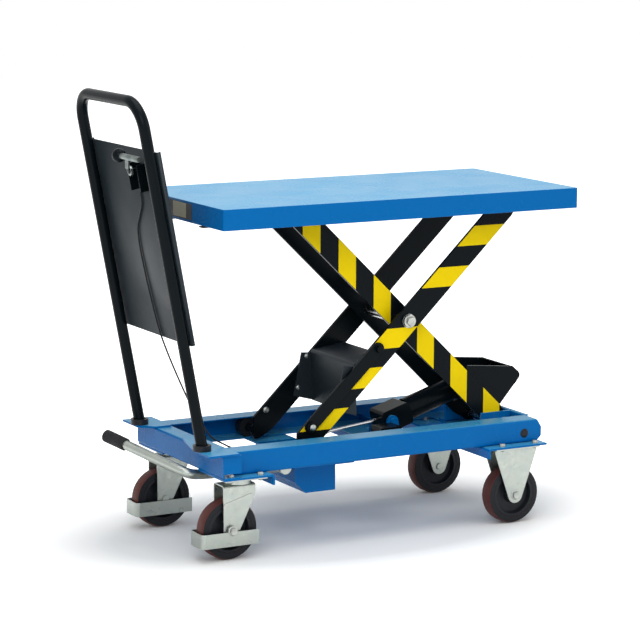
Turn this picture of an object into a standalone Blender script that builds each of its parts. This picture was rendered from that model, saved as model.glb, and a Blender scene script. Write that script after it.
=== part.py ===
"""Mobile scissor lift table: castored chassis, one pair of scissor arms, platform, pedal pump and push bow.

All sizes are metres. The layout's X runs from the push bow towards the far end of the platform, Y is the
width and Z is up from the floor. One empty carries the layout, and shifts it so that the world origin lies
on the floor under the middle of the overall length.
"""
import math

import bmesh
import bpy
from mathutils import Euler, Matrix, Vector

# Clearance between pieces that touch, and the depth by which welded sheets run into each other
GAP = 0.0003
WELD = 0.0005

# Platform: a tray of folded sheet
PLATFORM_LENGTH = 1.000
PLATFORM_WIDTH = 0.500
PLATFORM_RIM = 0.051
PLATFORM_SHEET = 0.0035
PLATFORM_END_X = 0.604
PLATFORM_CORNER_R = 0.006

# Scissor arms: flat bars between pivots
ARM_LENGTH = 0.850
ARM_ANGLE = math.radians(44.0)
ARM_DEPTH = 0.062
ARM_THICKNESS = 0.008
ARM_NOSE_R = 0.022
ARM_NOSE_TAPER = 0.034
ARM_END_CUT = 0.008
INNER_ARM_Y = 0.074
OUTER_ARM_Y = 0.114
PIVOT_INSET = 0.113
SHAFT_R = 0.010

# Rollers and the channels in which they run
ROLLER_R = 0.025
ROLLER_WIDTH = 0.028
ROLLER_PLAY = 0.001
TOP_ROLLER_WIDTH = 0.020
TOP_ROLLER_Y = 0.086
BASE_ROLLER_Y = 0.160
GUIDE_SHEET = 0.003
GUIDE_WIDTH = 0.027
GUIDE_WEB_Y = 0.111
GUIDE_START_X = -0.380
GUIDE_END_X = 0.110

# Chassis
CASTOR_HEIGHT = 0.204
CHANNEL_SHEET = 0.005
CHANNEL_INNER_Y = 0.102
CHANNEL_LIP = 0.021
FRONT_CHANNEL_END_X = -0.255
REAR_CHANNEL_START_X = 0.354
FRAME_SHEET = 0.003
FRAME_FOLD_R = 0.005
RAIL_FLANGE = 0.060
RAIL_OUTER_Y = 0.215
RAIL_END_X = 0.528
RAIL_TOP_CHAMFER = (0.012, 0.020)
RAIL_LOW_CHAMFER = (0.014, 0.014)
FRONT_FACE_X = -0.395
FRONT_FLANGE = 0.045
FRONT_HALF_WIDTH = 0.244
REAR_FACE_X = 0.5145
RAIL_HOLE_R = 0.010
RAIL_HOLE_X = 0.477
RAIL_HOLE_DROP = 0.033

# Base pivot brackets on their cross plate
BRACKET_Y = 0.086
BRACKET_SHEET = 0.006
BRACKET_START_X = 0.424
BRACKET_END_X = 0.513
BRACKET_RISE = 0.030
BRACKET_FOOT = 0.030

# Foot plates of the push bow, on top of the front member
FOOT_PLATE_T = 0.005
FOOT_PLATE_NOSE_X = -0.434
FOOT_PLATE_BACK_X = -0.354
FOOT_PLATE_HALF_WIDTH = 0.2495
FOOT_PLATE_INNER_Y = 0.130
FOOT_PLATE_LONG_Y = 0.017
FOOT_PLATE_NOSE_WIDTH = 0.085

# Push bow: a bent tube that leans away from the platform
BOW_TUBE_R = 0.014
BOW_HALF_WIDTH = 0.1784
BOW_FOOT_X = -0.4177
BOW_FOOT_Z = 0.270
BOW_LEAN = math.radians(10.72)
BOW_RISE = 0.858
BOW_BEND_R = 0.100
COLLAR_WALL = 0.0065
COLLAR_HEIGHT = 0.014

# Panel of the push bow
PANEL_SHEET = 0.002
PANEL_LOW = 0.262
PANEL_HIGH = 0.742
PANEL_HALF_WIDTH = 0.192
PANEL_FLANGE = 0.024

# Release lever at the panel, its bracket and its cable
LEVER_Y = -0.085
LEVER_RISE = 0.690
LEVER_BRACKET_WIDTH = 0.056
LEVER_BRACKET_HEIGHT = 0.066
LEVER_BRACKET_DEPTH = 0.022
LEVER_BRACKET_SHEET = 0.002
LEVER_PLATE_T = 0.004
LEVER_ROD_R = 0.0065
LEVER_ROD_LENGTH = 0.076
LEVER_ARM = 0.026
KNOB_R = 0.017
CABLE_R = 0.0022

# Pump saddle, a pocket of folded sheet that hangs under the rails
SADDLE_START_X = -0.129
SADDLE_END_X = -0.015
SADDLE_NEAR_Y = -0.110
SADDLE_FAR_Y = 0.105
SADDLE_BOTTOM_Z = 0.118
SADDLE_CHAMFER = 0.030
SADDLE_SHEET = 0.003
SADDLE_EAR_Y = 0.205

# Pump, plunger and pressure pipe
PUMP_LENGTH = 0.088
PUMP_WIDTH = 0.100
PUMP_HEIGHT = 0.076
PLUNGER_R = 0.006
PLUNGER_LENGTH = 0.047
PIPE_R = 0.004
PIPE_RISE = 0.018
PIPE_BEND_R = 0.012
PIPE_KNEE_X = 0.0288
PIPE_KNEE_Z = 0.243
PIPE_STRAIGHT = 0.020
PIPE_PLAY = 0.0012

# Pedal
PEDAL_PIVOT_X = -0.150
PEDAL_PIVOT_Z = 0.185
PEDAL_LUG_Y = 0.055
PEDAL_LUG_T = 0.006
PEDAL_SHAFT_R = 0.009
PEDAL_HUB_R = 0.016
PEDAL_CRANK = 0.025
PEDAL_CRANK_TIP_R = 0.008
PEDAL_CRANK_T = 0.012
PEDAL_TUBE_R = 0.0125
PEDAL_ARM_Y = -0.085
PEDAL_TIP = Vector((-0.520, 0.157, 0.255))
PEDAL_KNEE = Vector((-0.420, -0.098, 0.199))
SLEEVE_WALL = 0.0035
SLEEVE_LENGTH = 0.068

# Cylinder, its carrier and its rod
CYLINDER_BASE_X = 0.190
CYLINDER_BASE_Z = 0.260
CYLINDER_R = 0.030
CYLINDER_TUBE_END = 0.222
CYLINDER_BLOCK_REACH = 0.062
CYLINDER_BLOCK_HALF_WIDTH = 0.034
CYLINDER_BLOCK_HALF_HEIGHT = 0.029
CYLINDER_PIN_R = 0.008
CYLINDER_FOOT_BACK = 0.021
GLAND_R = 0.033
GLAND_LENGTH = 0.018
ROD_R = 0.015
ROD_INNER_END = 0.090
THRUST_PAD_R = 0.019
THRUST_PAD_LENGTH = 0.012
THRUST_PLAY = 0.00185
CARRIER_START_X = 0.086
CARRIER_END_X = 0.232
CARRIER_SHEET = 0.004
CARRIER_RISE = 0.016
CARRIER_LUG_T = 0.008
CARRIER_LUG_HALF_LENGTH = 0.024

# Valve block on the carrier
VALVE_START_X = 0.122
VALVE_LENGTH = 0.060
VALVE_NEAR_Y = -0.102
VALVE_FAR_Y = -0.048
VALVE_HEIGHT = 0.042
VALVE_PIVOT_X = 0.148
VALVE_PIVOT_Z = 0.242
VALVE_STEM_R = 0.005
VALVE_LEVER_REACH = 0.026
VALVE_LEVER_T = 0.004
VALVE_LEVER_HALF_WIDTH = 0.008

# Lift bracket between the inner arms: its pin and its side outline
LIFT_PIN_X = 0.490
LIFT_PIN_Z = 0.352
LIFT_SHEET = 0.006
LIFT_TOP_FRONT = Vector((0.393, 0.393))
LIFT_TOP_BACK = Vector((0.530, 0.380))
LIFT_BACK_CORNER = Vector((0.557, 0.357))
LIFT_LOW_BACK = Vector((0.493, 0.284))
LIFT_LOW_FRONT = Vector((0.452, 0.290))
LIFT_FRONT = Vector((0.388, 0.350))
LIFT_CORNER_R = 0.012

# Cross plate between the outer arms
CROSS_SHEET = 0.004
CROSS_TOP_END = Vector((0.1329, 0.4445))
CROSS_CORNER = Vector((0.0355, 0.4336))
CROSS_LOW_END = Vector((0.0416, 0.3024))
CROSS_FLANGE_LOW = Vector((-0.0165, 0.3187))
CROSS_FLANGE_HIGH = Vector((0.0060, 0.4300))
CROSS_FOLD_R = 0.006

# Service prop on the near outer arm
PROP_PIVOT = Vector((-0.094, 0.289))
PROP_END = Vector((0.097, 0.469))
PROP_WIDTH = 0.033
PROP_T = 0.006
PROP_STUD_R = 0.007
PROP_HEAD_R = 0.013
PROP_PEG_R = 0.009
PROP_PEG_LENGTH = 0.010

# Castors
WHEEL_R = 0.075
TYRE_WIDTH = 0.038
TYRE_DEPTH = 0.017
TYRE_SHOULDER = 0.0035
HUB_BOSS_R = 0.020
HUB_BOSS_WIDTH = 0.044
HUB_WEB = 0.014
HUB_RIM = 0.007
AXLE_R = 0.006
AXLE_HEAD_R = 0.009
AXLE_HEAD_T = 0.0045
FORK_SHEET = 0.003
FORK_GAP = 0.048
FORK_TIP_R = 0.021
FORK_PLATE_T = 0.004
FIXED_X = 0.453
FIXED_Y = 0.188
FIXED_PLATE_LENGTH = 0.130
FIXED_PLATE_SHIFT = -0.0095
FIXED_TOP_HALF_WIDTH = 0.062
CASTOR_PLATE_WIDTH = 0.104
SWIVEL_X = -0.329
SWIVEL_Y = 0.187
SWIVEL_TRAIL = 0.029
SWIVEL_PLATE_LENGTH = 0.112
RACE_R = 0.034
RACE_HEIGHT = 0.0135
KINGPIN_R = 0.008
KINGPIN_LENGTH = 0.014
SWIVEL_FORK_FRONT = 0.036
SWIVEL_FORK_SHOULDER = 0.160
GUARD_SHEET = 0.003
GUARD_HEIGHT = 0.036
GUARD_LOW_Z = 0.037
GUARD_WIDTH = 0.070
GUARD_REACH_OUT = 0.083
GUARD_REACH_IN = 0.072
GUARD_CORNER_R = 0.010

# Facets of round pieces
FINE = 36
MEDIUM = 24
COARSE = 16
ARC_STEPS = 6

# Places worked out from the sizes above
RAIL_BOTTOM_Z = CASTOR_HEIGHT + GAP + CHANNEL_SHEET + GAP
BASE_AXIS_Z = RAIL_BOTTOM_Z + FRAME_SHEET + GAP + ROLLER_R
RAIL_TOP_Z = BASE_AXIS_Z + ROLLER_R + ROLLER_PLAY + FRAME_SHEET
TOP_AXIS_Z = BASE_AXIS_Z + ARM_LENGTH * math.sin(ARM_ANGLE)
PLATE_BOTTOM_Z = TOP_AXIS_Z + ROLLER_R + GAP + GUIDE_SHEET + GAP
PLATFORM_TOP_Z = PLATE_BOTTOM_Z + PLATFORM_SHEET
FIXED_PIVOT_X = PLATFORM_END_X - PIVOT_INSET
ROLLER_AXIS_X = FIXED_PIVOT_X - ARM_LENGTH * math.cos(ARM_ANGLE)
BASE_PIVOT = Vector((FIXED_PIVOT_X, 0.0, BASE_AXIS_Z))
TOP_PIVOT = Vector((FIXED_PIVOT_X, 0.0, TOP_AXIS_Z))
CENTRE_PIVOT = (BASE_PIVOT + Vector((ROLLER_AXIS_X, 0.0, TOP_AXIS_Z))) / 2
CYLINDER_BASE = Vector((CYLINDER_BASE_X, 0.0, CYLINDER_BASE_Z))
LIFT_PIN = Vector((LIFT_PIN_X, 0.0, LIFT_PIN_Z))
PEDAL_PIVOT = Vector((PEDAL_PIVOT_X, 0.0, PEDAL_PIVOT_Z))
CHANNEL_TOP_Z = CASTOR_HEIGHT + GAP + CHANNEL_SHEET
BOW_ALONG = Vector((-math.sin(BOW_LEAN), 0.0, math.cos(BOW_LEAN)))
BOW_BACK = Vector((math.cos(BOW_LEAN), 0.0, math.sin(BOW_LEAN)))
BOW_TOP_X = BOW_FOOT_X - BOW_RISE * math.sin(BOW_LEAN)
ORIGIN_X = (PLATFORM_END_X + BOW_TOP_X - BOW_TUBE_R) / 2

# Turns that bring a local Z axis, or a flat outline, into the plane where the piece lies
UPRIGHT = (0.0, 0.0, 0.0)
ALONG_Y = (-math.pi / 2, 0.0, 0.0)
SIDE_VIEW = (math.pi / 2, 0.0, 0.0)
END_VIEW = (math.pi / 2, 0.0, math.pi / 2)


def start_file():
    """Empty the scene, and make the two collections and the empty that carries the layout."""
    for obj in list(bpy.data.objects):
        bpy.data.objects.remove(obj, do_unlink=True)
    collections = []
    for name in ("lift_table", "cutters"):
        collection = bpy.data.collections.new(name)
        bpy.context.scene.collection.children.link(collection)
        collections.append(collection)
    carrier = bpy.data.objects.new("layout", None)
    carrier.location = (-ORIGIN_X, 0.0, 0.0)
    collections[0].objects.link(carrier)
    return collections[0], collections[1], carrier


PARTS, CUTTERS, LAYOUT = start_file()


def material(name, colour, roughness, metallic=0.0):
    """One Principled material for a finish."""
    made = bpy.data.materials.new(name)
    made.use_nodes = True
    shader = made.node_tree.nodes["Principled BSDF"]
    shader.inputs["Base Color"].default_value = (*colour, 1.0)
    shader.inputs["Roughness"].default_value = roughness
    shader.inputs["Metallic"].default_value = metallic
    return made


FINISHES = {
    "blue_paint": ((0.010, 0.190, 0.560), 0.35, 0.0),
    "black_paint": ((0.012, 0.016, 0.020), 0.40, 0.0),
    "grey_paint": ((0.055, 0.065, 0.070), 0.50, 0.0),
    "yellow_band": ((0.900, 0.640, 0.010), 0.45, 0.0),
    "zinc": ((0.620, 0.640, 0.620), 0.35, 0.9),
    "bright_steel": ((0.700, 0.710, 0.720), 0.20, 1.0),
    "black_plastic": ((0.015, 0.016, 0.018), 0.45, 0.0),
    "rubber": ((0.020, 0.020, 0.022), 0.75, 0.0),
    "tread": ((0.180, 0.045, 0.035), 0.50, 0.0),
}


def joint_frame(name, position, angle=0.0):
    """An empty on a joint's axis, carried by the layout, which the joint's pieces are parented to."""
    frame = bpy.data.objects.new(name, None)
    frame.location = position
    frame.rotation_euler = (0.0, angle, 0.0)
    frame.parent = LAYOUT
    PARTS.objects.link(frame)
    return frame


def placement(at, turn):
    """The matrix of a piece from its place in the layout and its turn."""
    if isinstance(turn, tuple):
        rotation = Euler(turn).to_matrix().to_4x4()
    else:
        rotation = turn.to_matrix().to_4x4()
    return Matrix.Translation(Vector(at)) @ rotation


def add_piece(name, mesh, finish, frame, at=(0.0, 0.0, 0.0), turn=UPRIGHT):
    """Link a mesh as a named piece with a finish of its own, placed in the layout and parented to its frame."""
    piece = bpy.data.objects.new(name, mesh)
    colour, roughness, metallic = FINISHES[finish]
    mesh.materials.clear()
    mesh.materials.append(material(name + "_" + finish, colour, roughness, metallic))
    piece.parent = frame
    piece.matrix_local = frame.matrix_basis.inverted() @ placement(at, turn)
    PARTS.objects.link(piece)
    return piece


def add_tool(mesh, at=(0.0, 0.0, 0.0), turn=UPRIGHT):
    """Link a mesh as a cutter that shapes other pieces and isn't a piece itself."""
    tool = bpy.data.objects.new("tool", mesh)
    tool.hide_render = True
    tool.display_type = "WIRE"
    tool.parent = LAYOUT
    tool.matrix_local = placement(at, turn)
    CUTTERS.objects.link(tool)
    return tool


def combine(piece, tool, operation):
    """Shape a piece with a cutter: DIFFERENCE, UNION or INTERSECT."""
    modifier = piece.modifiers.new(operation.lower(), "BOOLEAN")
    modifier.operation = operation
    modifier.solver = "EXACT"
    modifier.object = tool
    return piece


def box_mesh(low, high):
    """A box between two corners."""
    made = bmesh.new()
    bmesh.ops.create_cube(made, size=1.0)
    low = Vector(low)
    high = Vector(high)
    bmesh.ops.scale(made, vec=high - low, verts=made.verts)
    bmesh.ops.translate(made, vec=(high + low) / 2, verts=made.verts)
    mesh = bpy.data.meshes.new("box")
    made.to_mesh(mesh)
    made.free()
    return mesh


def rod_mesh(radius, start, end, facets=MEDIUM):
    """A round bar along its local Z axis from start to end."""
    made = bmesh.new()
    bmesh.ops.create_cone(
        made, cap_ends=True, segments=facets, radius1=radius, radius2=radius, depth=end - start)
    bmesh.ops.translate(made, vec=(0.0, 0.0, (start + end) / 2), verts=made.verts)
    mesh = bpy.data.meshes.new("rod")
    made.to_mesh(mesh)
    made.free()
    return mesh


def profile_mesh(points, closed):
    """The edges of a turned profile: pairs of radius and height, from the top down its outer side."""
    vertices = [(radius, 0.0, height) for radius, height in points]
    edges = [(index, index + 1) for index in range(len(points) - 1)]
    if closed:
        edges.append((len(points) - 1, 0))
    mesh = bpy.data.meshes.new("profile")
    mesh.from_pydata(vertices, edges, [])
    return mesh


def spin(piece, facets):
    """Turn a profile once around its local Z axis."""
    modifier = piece.modifiers.new("turn", "SCREW")
    modifier.axis = "Z"
    modifier.angle = 2.0 * math.pi
    modifier.steps = facets
    modifier.render_steps = facets
    modifier.use_merge_vertices = True
    modifier.merge_threshold = 0.00005
    modifier.use_smooth_shade = True
    return piece


def turned_piece(name, points, finish, frame, at, turn=ALONG_Y, closed=False, facets=MEDIUM):
    """A turned piece from its profile."""
    return spin(add_piece(name, profile_mesh(points, closed), finish, frame, at, turn), facets)


def turned_tool(points, at, turn=ALONG_Y, closed=False, facets=MEDIUM):
    """A turned cutter from its profile."""
    return spin(add_tool(profile_mesh(points, closed), at, turn), facets)


def stepped_profile(steps):
    """The profile of a solid shaft from its steps, each a radius and its upper and lower height."""
    points = [(0.0, steps[0][1])]
    for radius, upper, lower in steps:
        points.append((radius, upper))
        points.append((radius, lower))
    points.append((0.0, steps[-1][2]))
    return points


def ring_profile(inner, outer, half_height):
    """The closed profile of a plain ring."""
    return [(outer, half_height), (outer, -half_height), (inner, -half_height), (inner, half_height)]


def arc(centre, radius, start, end, steps=ARC_STEPS):
    """Points of an arc between two angles."""
    points = []
    for index in range(steps + 1):
        angle = start + (end - start) * index / steps
        points.append((centre[0] + radius * math.cos(angle), centre[1] + radius * math.sin(angle)))
    return points


def circle(centre, radius, facets=MEDIUM):
    """Points once around a circle."""
    return arc(centre, radius, 0.0, 2.0 * math.pi * (facets - 1) / facets, facets - 1)


def rounded_path(points, radius, steps=3):
    """An open path whose inner corners are arcs of one radius."""
    path = [tuple(points[0])]
    for before, corner, after in zip(points, points[1:], points[2:]):
        corner = Vector(corner)
        back = (Vector(before) - corner).normalized()
        ahead = (Vector(after) - corner).normalized()
        half = back.angle(ahead) / 2
        reach = radius / math.tan(half)
        centre = corner + (back + ahead).normalized() * (radius / math.sin(half))
        first = corner + back * reach - centre
        last = corner + ahead * reach - centre
        start = math.atan2(first.y, first.x)
        sweep = math.atan2(last.y, last.x) - start
        sweep = (sweep + math.pi) % (2.0 * math.pi) - math.pi
        path.extend(arc(centre, radius, start, start + sweep, steps))
    path.append(tuple(points[-1]))
    return path


def rounded_outline(points, radius, steps=3):
    """A closed outline whose corners are all arcs of one radius."""
    wrapped = [points[-1], *points, points[0]]
    return rounded_path(wrapped, radius, steps)[1:-1]


def welded_mesh(curve):
    """The mesh of a filled curve, with its caps welded on."""
    holder = bpy.data.objects.new("outline", curve)
    PARTS.objects.link(holder)
    graph = bpy.context.evaluated_depsgraph_get()
    mesh = bpy.data.meshes.new_from_object(holder.evaluated_get(graph))
    bpy.data.objects.remove(holder, do_unlink=True)
    made = bmesh.new()
    made.from_mesh(mesh)
    bmesh.ops.remove_doubles(made, verts=made.verts, dist=0.00001)
    bmesh.ops.recalc_face_normals(made, faces=made.faces)
    made.to_mesh(mesh)
    made.free()
    return mesh


def plate_mesh(outlines, thickness):
    """A flat plate from its outline and its holes, centred on its own plane."""
    curve = bpy.data.curves.new("plate", "CURVE")
    curve.dimensions = "2D"
    curve.fill_mode = "BOTH"
    curve.extrude = thickness / 2
    for outline in outlines:
        spline = curve.splines.new("POLY")
        spline.points.add(len(outline) - 1)
        for point, place in zip(spline.points, outline):
            point.co = (place[0], place[1], 0.0, 1.0)
        spline.use_cyclic_u = True
    return welded_mesh(curve)


def tube_mesh(points, radius, resolution):
    """A round tube along a path, with closed ends."""
    curve = bpy.data.curves.new("tube", "CURVE")
    curve.dimensions = "3D"
    curve.bevel_depth = radius
    curve.bevel_resolution = resolution
    curve.use_fill_caps = True
    spline = curve.splines.new("POLY")
    spline.points.add(len(points) - 1)
    for point, place in zip(spline.points, points):
        point.co = (*place, 1.0)
    mesh = welded_mesh(curve)
    mesh.shade_smooth()
    return mesh


def sheet_mesh(path, width):
    """An open strip: a path in its local plane, drawn out to both sides by half its width."""
    made = bmesh.new()
    row = [made.verts.new((x, y, -width / 2)) for x, y in path]
    edges = [made.edges.new(pair) for pair in zip(row, row[1:])]
    drawn = bmesh.ops.extrude_edge_only(made, edges=edges)
    moved = [item for item in drawn["geom"] if isinstance(item, bmesh.types.BMVert)]
    bmesh.ops.translate(made, vec=(0.0, 0.0, width), verts=moved)
    mesh = bpy.data.meshes.new("sheet")
    made.to_mesh(mesh)
    made.free()
    return mesh


def give_wall(piece, thickness):
    """Give an open strip its sheet thickness, half to each side."""
    modifier = piece.modifiers.new("wall", "SOLIDIFY")
    modifier.thickness = thickness
    modifier.offset = 0.0
    modifier.use_even_offset = True
    return piece


def sheet_piece(name, path, width, thickness, finish, frame, at, turn):
    """A piece of folded sheet from the middle line of its section."""
    return give_wall(add_piece(name, sheet_mesh(path, width), finish, frame, at, turn), thickness)


def sheet_tool(path, width, thickness, at, turn):
    """A folded sheet that is welded to a piece."""
    return give_wall(add_tool(sheet_mesh(path, width), at, turn), thickness)


def tangent_angle(centre, radius, point, side):
    """Angle on a circle where a line from an outer point touches it, on the side given by +1 or -1."""
    offset = Vector(point) - Vector(centre)
    return math.atan2(offset.y, offset.x) + side * math.acos(radius / offset.length)


def side_view_turn(rise):
    """Turn of a flat outline into a side view whose first direction rises by an angle."""
    return (Euler((0.0, -rise, 0.0)).to_matrix() @ Euler(SIDE_VIEW).to_matrix()).to_quaternion()


BASE = joint_frame("chassis_frame", (0.0, 0.0, 0.0))
INNER = joint_frame("inner_arms_frame", BASE_PIVOT, ARM_ANGLE)
OUTER = joint_frame("outer_arms_frame", CENTRE_PIVOT, -ARM_ANGLE)
PLATFORM = joint_frame("platform_frame", TOP_PIVOT)


def side_rails():
    """Two C-sections, open inwards, in which the base rollers run."""
    low = RAIL_BOTTOM_Z + FRAME_SHEET / 2
    high = RAIL_TOP_Z - FRAME_SHEET / 2
    web = RAIL_OUTER_Y - FRAME_SHEET / 2
    start = FRONT_FACE_X + FRONT_FLANGE + GAP
    length = RAIL_END_X - start
    for side, name in ((-1, "side_rail_near"), (1, "side_rail_far")):
        inner = side * (RAIL_OUTER_Y - RAIL_FLANGE)
        path = rounded_path([(inner, low), (side * web, low), (side * web, high), (inner, high)], FRAME_FOLD_R)
        rail = sheet_piece(
            name, path, length, FRAME_SHEET, "blue_paint", BASE, (start + length / 2, 0.0, 0.0), END_VIEW)
        hole = add_tool(
            rod_mesh(RAIL_HOLE_R, -FRAME_SHEET * 2, FRAME_SHEET * 2, COARSE),
            (RAIL_HOLE_X, side * web, RAIL_TOP_Z - RAIL_HOLE_DROP), ALONG_Y)
        combine(rail, hole, "DIFFERENCE")
        for level, (along, up) in ((RAIL_TOP_Z, RAIL_TOP_CHAMFER), (RAIL_BOTTOM_Z, RAIL_LOW_CHAMFER)):
            rise = up if level == RAIL_BOTTOM_Z else -up
            beyond = (RAIL_END_X + along, level - rise)
            corner = [(RAIL_END_X - along, level), (RAIL_END_X, level + rise), beyond]
            wedge = add_tool(plate_mesh([corner], RAIL_FLANGE * 2), (0.0, side * RAIL_OUTER_Y, 0.0), SIDE_VIEW)
            combine(rail, wedge, "DIFFERENCE")


def castor_channel_path(lip_x, end_x):
    """Middle line of a castor channel: a plate with a lip folded down at one end."""
    middle = CHANNEL_TOP_Z - CHANNEL_SHEET / 2
    points = [(lip_x, CHANNEL_TOP_Z - CHANNEL_SHEET - CHANNEL_LIP), (lip_x, middle), (end_x, middle)]
    return rounded_path(points, FRAME_FOLD_R)


def weld_castor_channels(member, lip_x, end_x):
    """Weld the near and the far castor channel under a cross member."""
    width = FRONT_HALF_WIDTH - CHANNEL_INNER_Y
    for side in (-1, 1):
        middle = side * (FRONT_HALF_WIDTH + CHANNEL_INNER_Y) / 2
        channel = sheet_tool(
            castor_channel_path(lip_x, end_x), width, CHANNEL_SHEET, (0.0, middle, 0.0), SIDE_VIEW)
        combine(member, channel, "UNION")


def front_member():
    """Front cross member with the foot plates and collars of the push bow and both front castor channels."""
    low = CHANNEL_TOP_Z - WELD + FRAME_SHEET / 2
    high = RAIL_TOP_Z - FRAME_SHEET / 2
    face = FRONT_FACE_X + FRAME_SHEET / 2
    back = FRONT_FACE_X + FRONT_FLANGE
    path = rounded_path([(back, low), (face, low), (face, high), (back, high)], FRAME_FOLD_R)
    member = sheet_piece(
        "front_member", path, 2.0 * FRONT_HALF_WIDTH, FRAME_SHEET, "blue_paint", BASE, (0.0, 0.0, 0.0), SIDE_VIEW)
    weld_castor_channels(member, FRONT_CHANNEL_END_X - CHANNEL_SHEET / 2, FRONT_FACE_X + FRAME_SHEET)
    plate_low = RAIL_TOP_Z - WELD
    wide = FOOT_PLATE_HALF_WIDTH
    for side, inner in ((-1, FOOT_PLATE_LONG_Y), (1, FOOT_PLATE_INNER_Y)):
        outline = [
            (FOOT_PLATE_BACK_X, side * wide),
            (FOOT_PLATE_NOSE_X, side * wide),
            (FOOT_PLATE_NOSE_X, side * (wide - FOOT_PLATE_NOSE_WIDTH)),
            (FRONT_FACE_X, side * inner),
            (FOOT_PLATE_BACK_X, side * inner),
        ]
        plate = add_tool(plate_mesh([outline], FOOT_PLATE_T), (0.0, 0.0, plate_low + FOOT_PLATE_T / 2))
        combine(member, plate, "UNION")


def rear_member():
    """Rear cross member: a C-section between the rails, open outwards, with both rear castor channels."""
    low = CHANNEL_TOP_Z - WELD + FRAME_SHEET / 2
    high = RAIL_TOP_Z - FRAME_SHEET / 2
    web = REAR_FACE_X + FRAME_SHEET / 2
    half = RAIL_OUTER_Y - RAIL_FLANGE - GAP
    path = rounded_path([(RAIL_END_X, low), (web, low), (web, high), (RAIL_END_X, high)], FRAME_FOLD_R)
    member = sheet_piece(
        "rear_member", path, 2.0 * half, FRAME_SHEET, "blue_paint", BASE, (0.0, 0.0, 0.0), SIDE_VIEW)
    weld_castor_channels(member, REAR_CHANNEL_START_X + CHANNEL_SHEET / 2, RAIL_END_X - WELD)


def pivot_crossmember():
    """Cross plate between the rails with the two brackets of the base pivot welded on it."""
    half = RAIL_OUTER_Y - RAIL_FLANGE - GAP
    plate = box_mesh(
        (BRACKET_START_X, -half, RAIL_BOTTOM_Z), (BRACKET_END_X, half, RAIL_BOTTOM_Z + FRAME_SHEET))
    member = add_piece("pivot_crossmember", plate, "blue_paint", BASE)
    foot = RAIL_BOTTOM_Z + FRAME_SHEET - WELD + BRACKET_SHEET / 2
    top = BASE_AXIS_Z + BRACKET_RISE
    length = BRACKET_END_X - BRACKET_START_X
    middle = (BRACKET_START_X + BRACKET_END_X) / 2
    for side in (-1, 1):
        web = side * (BRACKET_Y + BRACKET_SHEET / 2)
        path = rounded_path(
            [(web + side * BRACKET_FOOT, foot), (web, foot), (web, top)], BRACKET_SHEET)
        bracket = sheet_tool(path, length - 2.0 * WELD, BRACKET_SHEET, (middle, 0.0, 0.0), END_VIEW)
        combine(member, bracket, "UNION")
    bore = add_tool(
        rod_mesh(SHAFT_R + GAP, -BRACKET_Y * 1.5, BRACKET_Y * 1.5), tuple(BASE_PIVOT), ALONG_Y)
    combine(member, bore, "DIFFERENCE")
    head = BRACKET_Y + BRACKET_SHEET + GAP
    steps = [
        (SHAFT_R * 1.6, head + SHAFT_R * 0.5, head),
        (SHAFT_R, head, -head),
        (SHAFT_R * 1.6, -head, -head - SHAFT_R * 0.5),
    ]
    turned_piece("base_pivot_shaft", stepped_profile(steps), "bright_steel", BASE, tuple(BASE_PIVOT))


def arm_end(shift, direction, cut):
    """Outline of one arm end around its pivot, from the lower edge round the nose to the upper edge.

    The nose is an arc, with a taper to each edge. With cut, the arm ends at a line which is vertical at rest.
    """
    half = ARM_DEPTH / 2
    lower = (ARM_NOSE_TAPER, -half)
    upper = (ARM_NOSE_TAPER, half)
    begin = tangent_angle((0.0, 0.0), ARM_NOSE_R, lower, -1)
    finish = tangent_angle((0.0, 0.0), ARM_NOSE_R, upper, 1) - 2.0 * math.pi
    points = [lower]
    if cut:
        vertical = math.pi - ARM_ANGLE
        spread = math.acos(ARM_END_CUT / ARM_NOSE_R)
        stop = vertical + spread - 2.0 * math.pi
        points.extend(arc((0.0, 0.0), ARM_NOSE_R, begin, stop))
        edge_x = (half * math.sin(ARM_ANGLE) - ARM_END_CUT) / math.cos(ARM_ANGLE)
        points.append((edge_x, half))
    else:
        points.extend(arc((0.0, 0.0), ARM_NOSE_R, begin, finish, 2 * ARC_STEPS))
        points.append(upper)
    return [(shift + direction * x, y) for x, y in points]


def arm_mesh(upward):
    """A scissor arm, bored at its middle and at its pivot, with its origin on the roller's axis.

    The upper edge of the roller's end is the cut one for +1, and the lower edge is for -1.
    """
    start = arm_end(0.0, 1.0, True)
    end = arm_end(ARM_LENGTH, -1.0, False)
    outline = [(x, upward * y) for x, y in start + end[::-1]]
    holes = [circle((place, 0.0), SHAFT_R + GAP) for place in (ARM_LENGTH / 2, ARM_LENGTH)]
    return plate_mesh([outline, *holes], ARM_THICKNESS)


def weld_stub_axle(arm, axis, side, arm_y, roller_y, width):
    """Weld the stub axle of a roller into an arm's end: a shank, a shoulder and the roller's journal."""
    reach = roller_y + width + 2.0 * GAP
    face = arm_y + ARM_THICKNESS
    shoulder = min(roller_y - GAP, face + SHAFT_R)
    steps = [
        (SHAFT_R, reach, shoulder),
        (SHAFT_R * 1.4, shoulder, face - WELD),
        (SHAFT_R * 0.6, face - WELD, arm_y + WELD),
    ]
    if side < 0:
        steps = [(radius, -lower, -upper) for radius, upper, lower in steps[::-1]]
    combine(arm, turned_tool(stepped_profile(steps), axis), "UNION")


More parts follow.
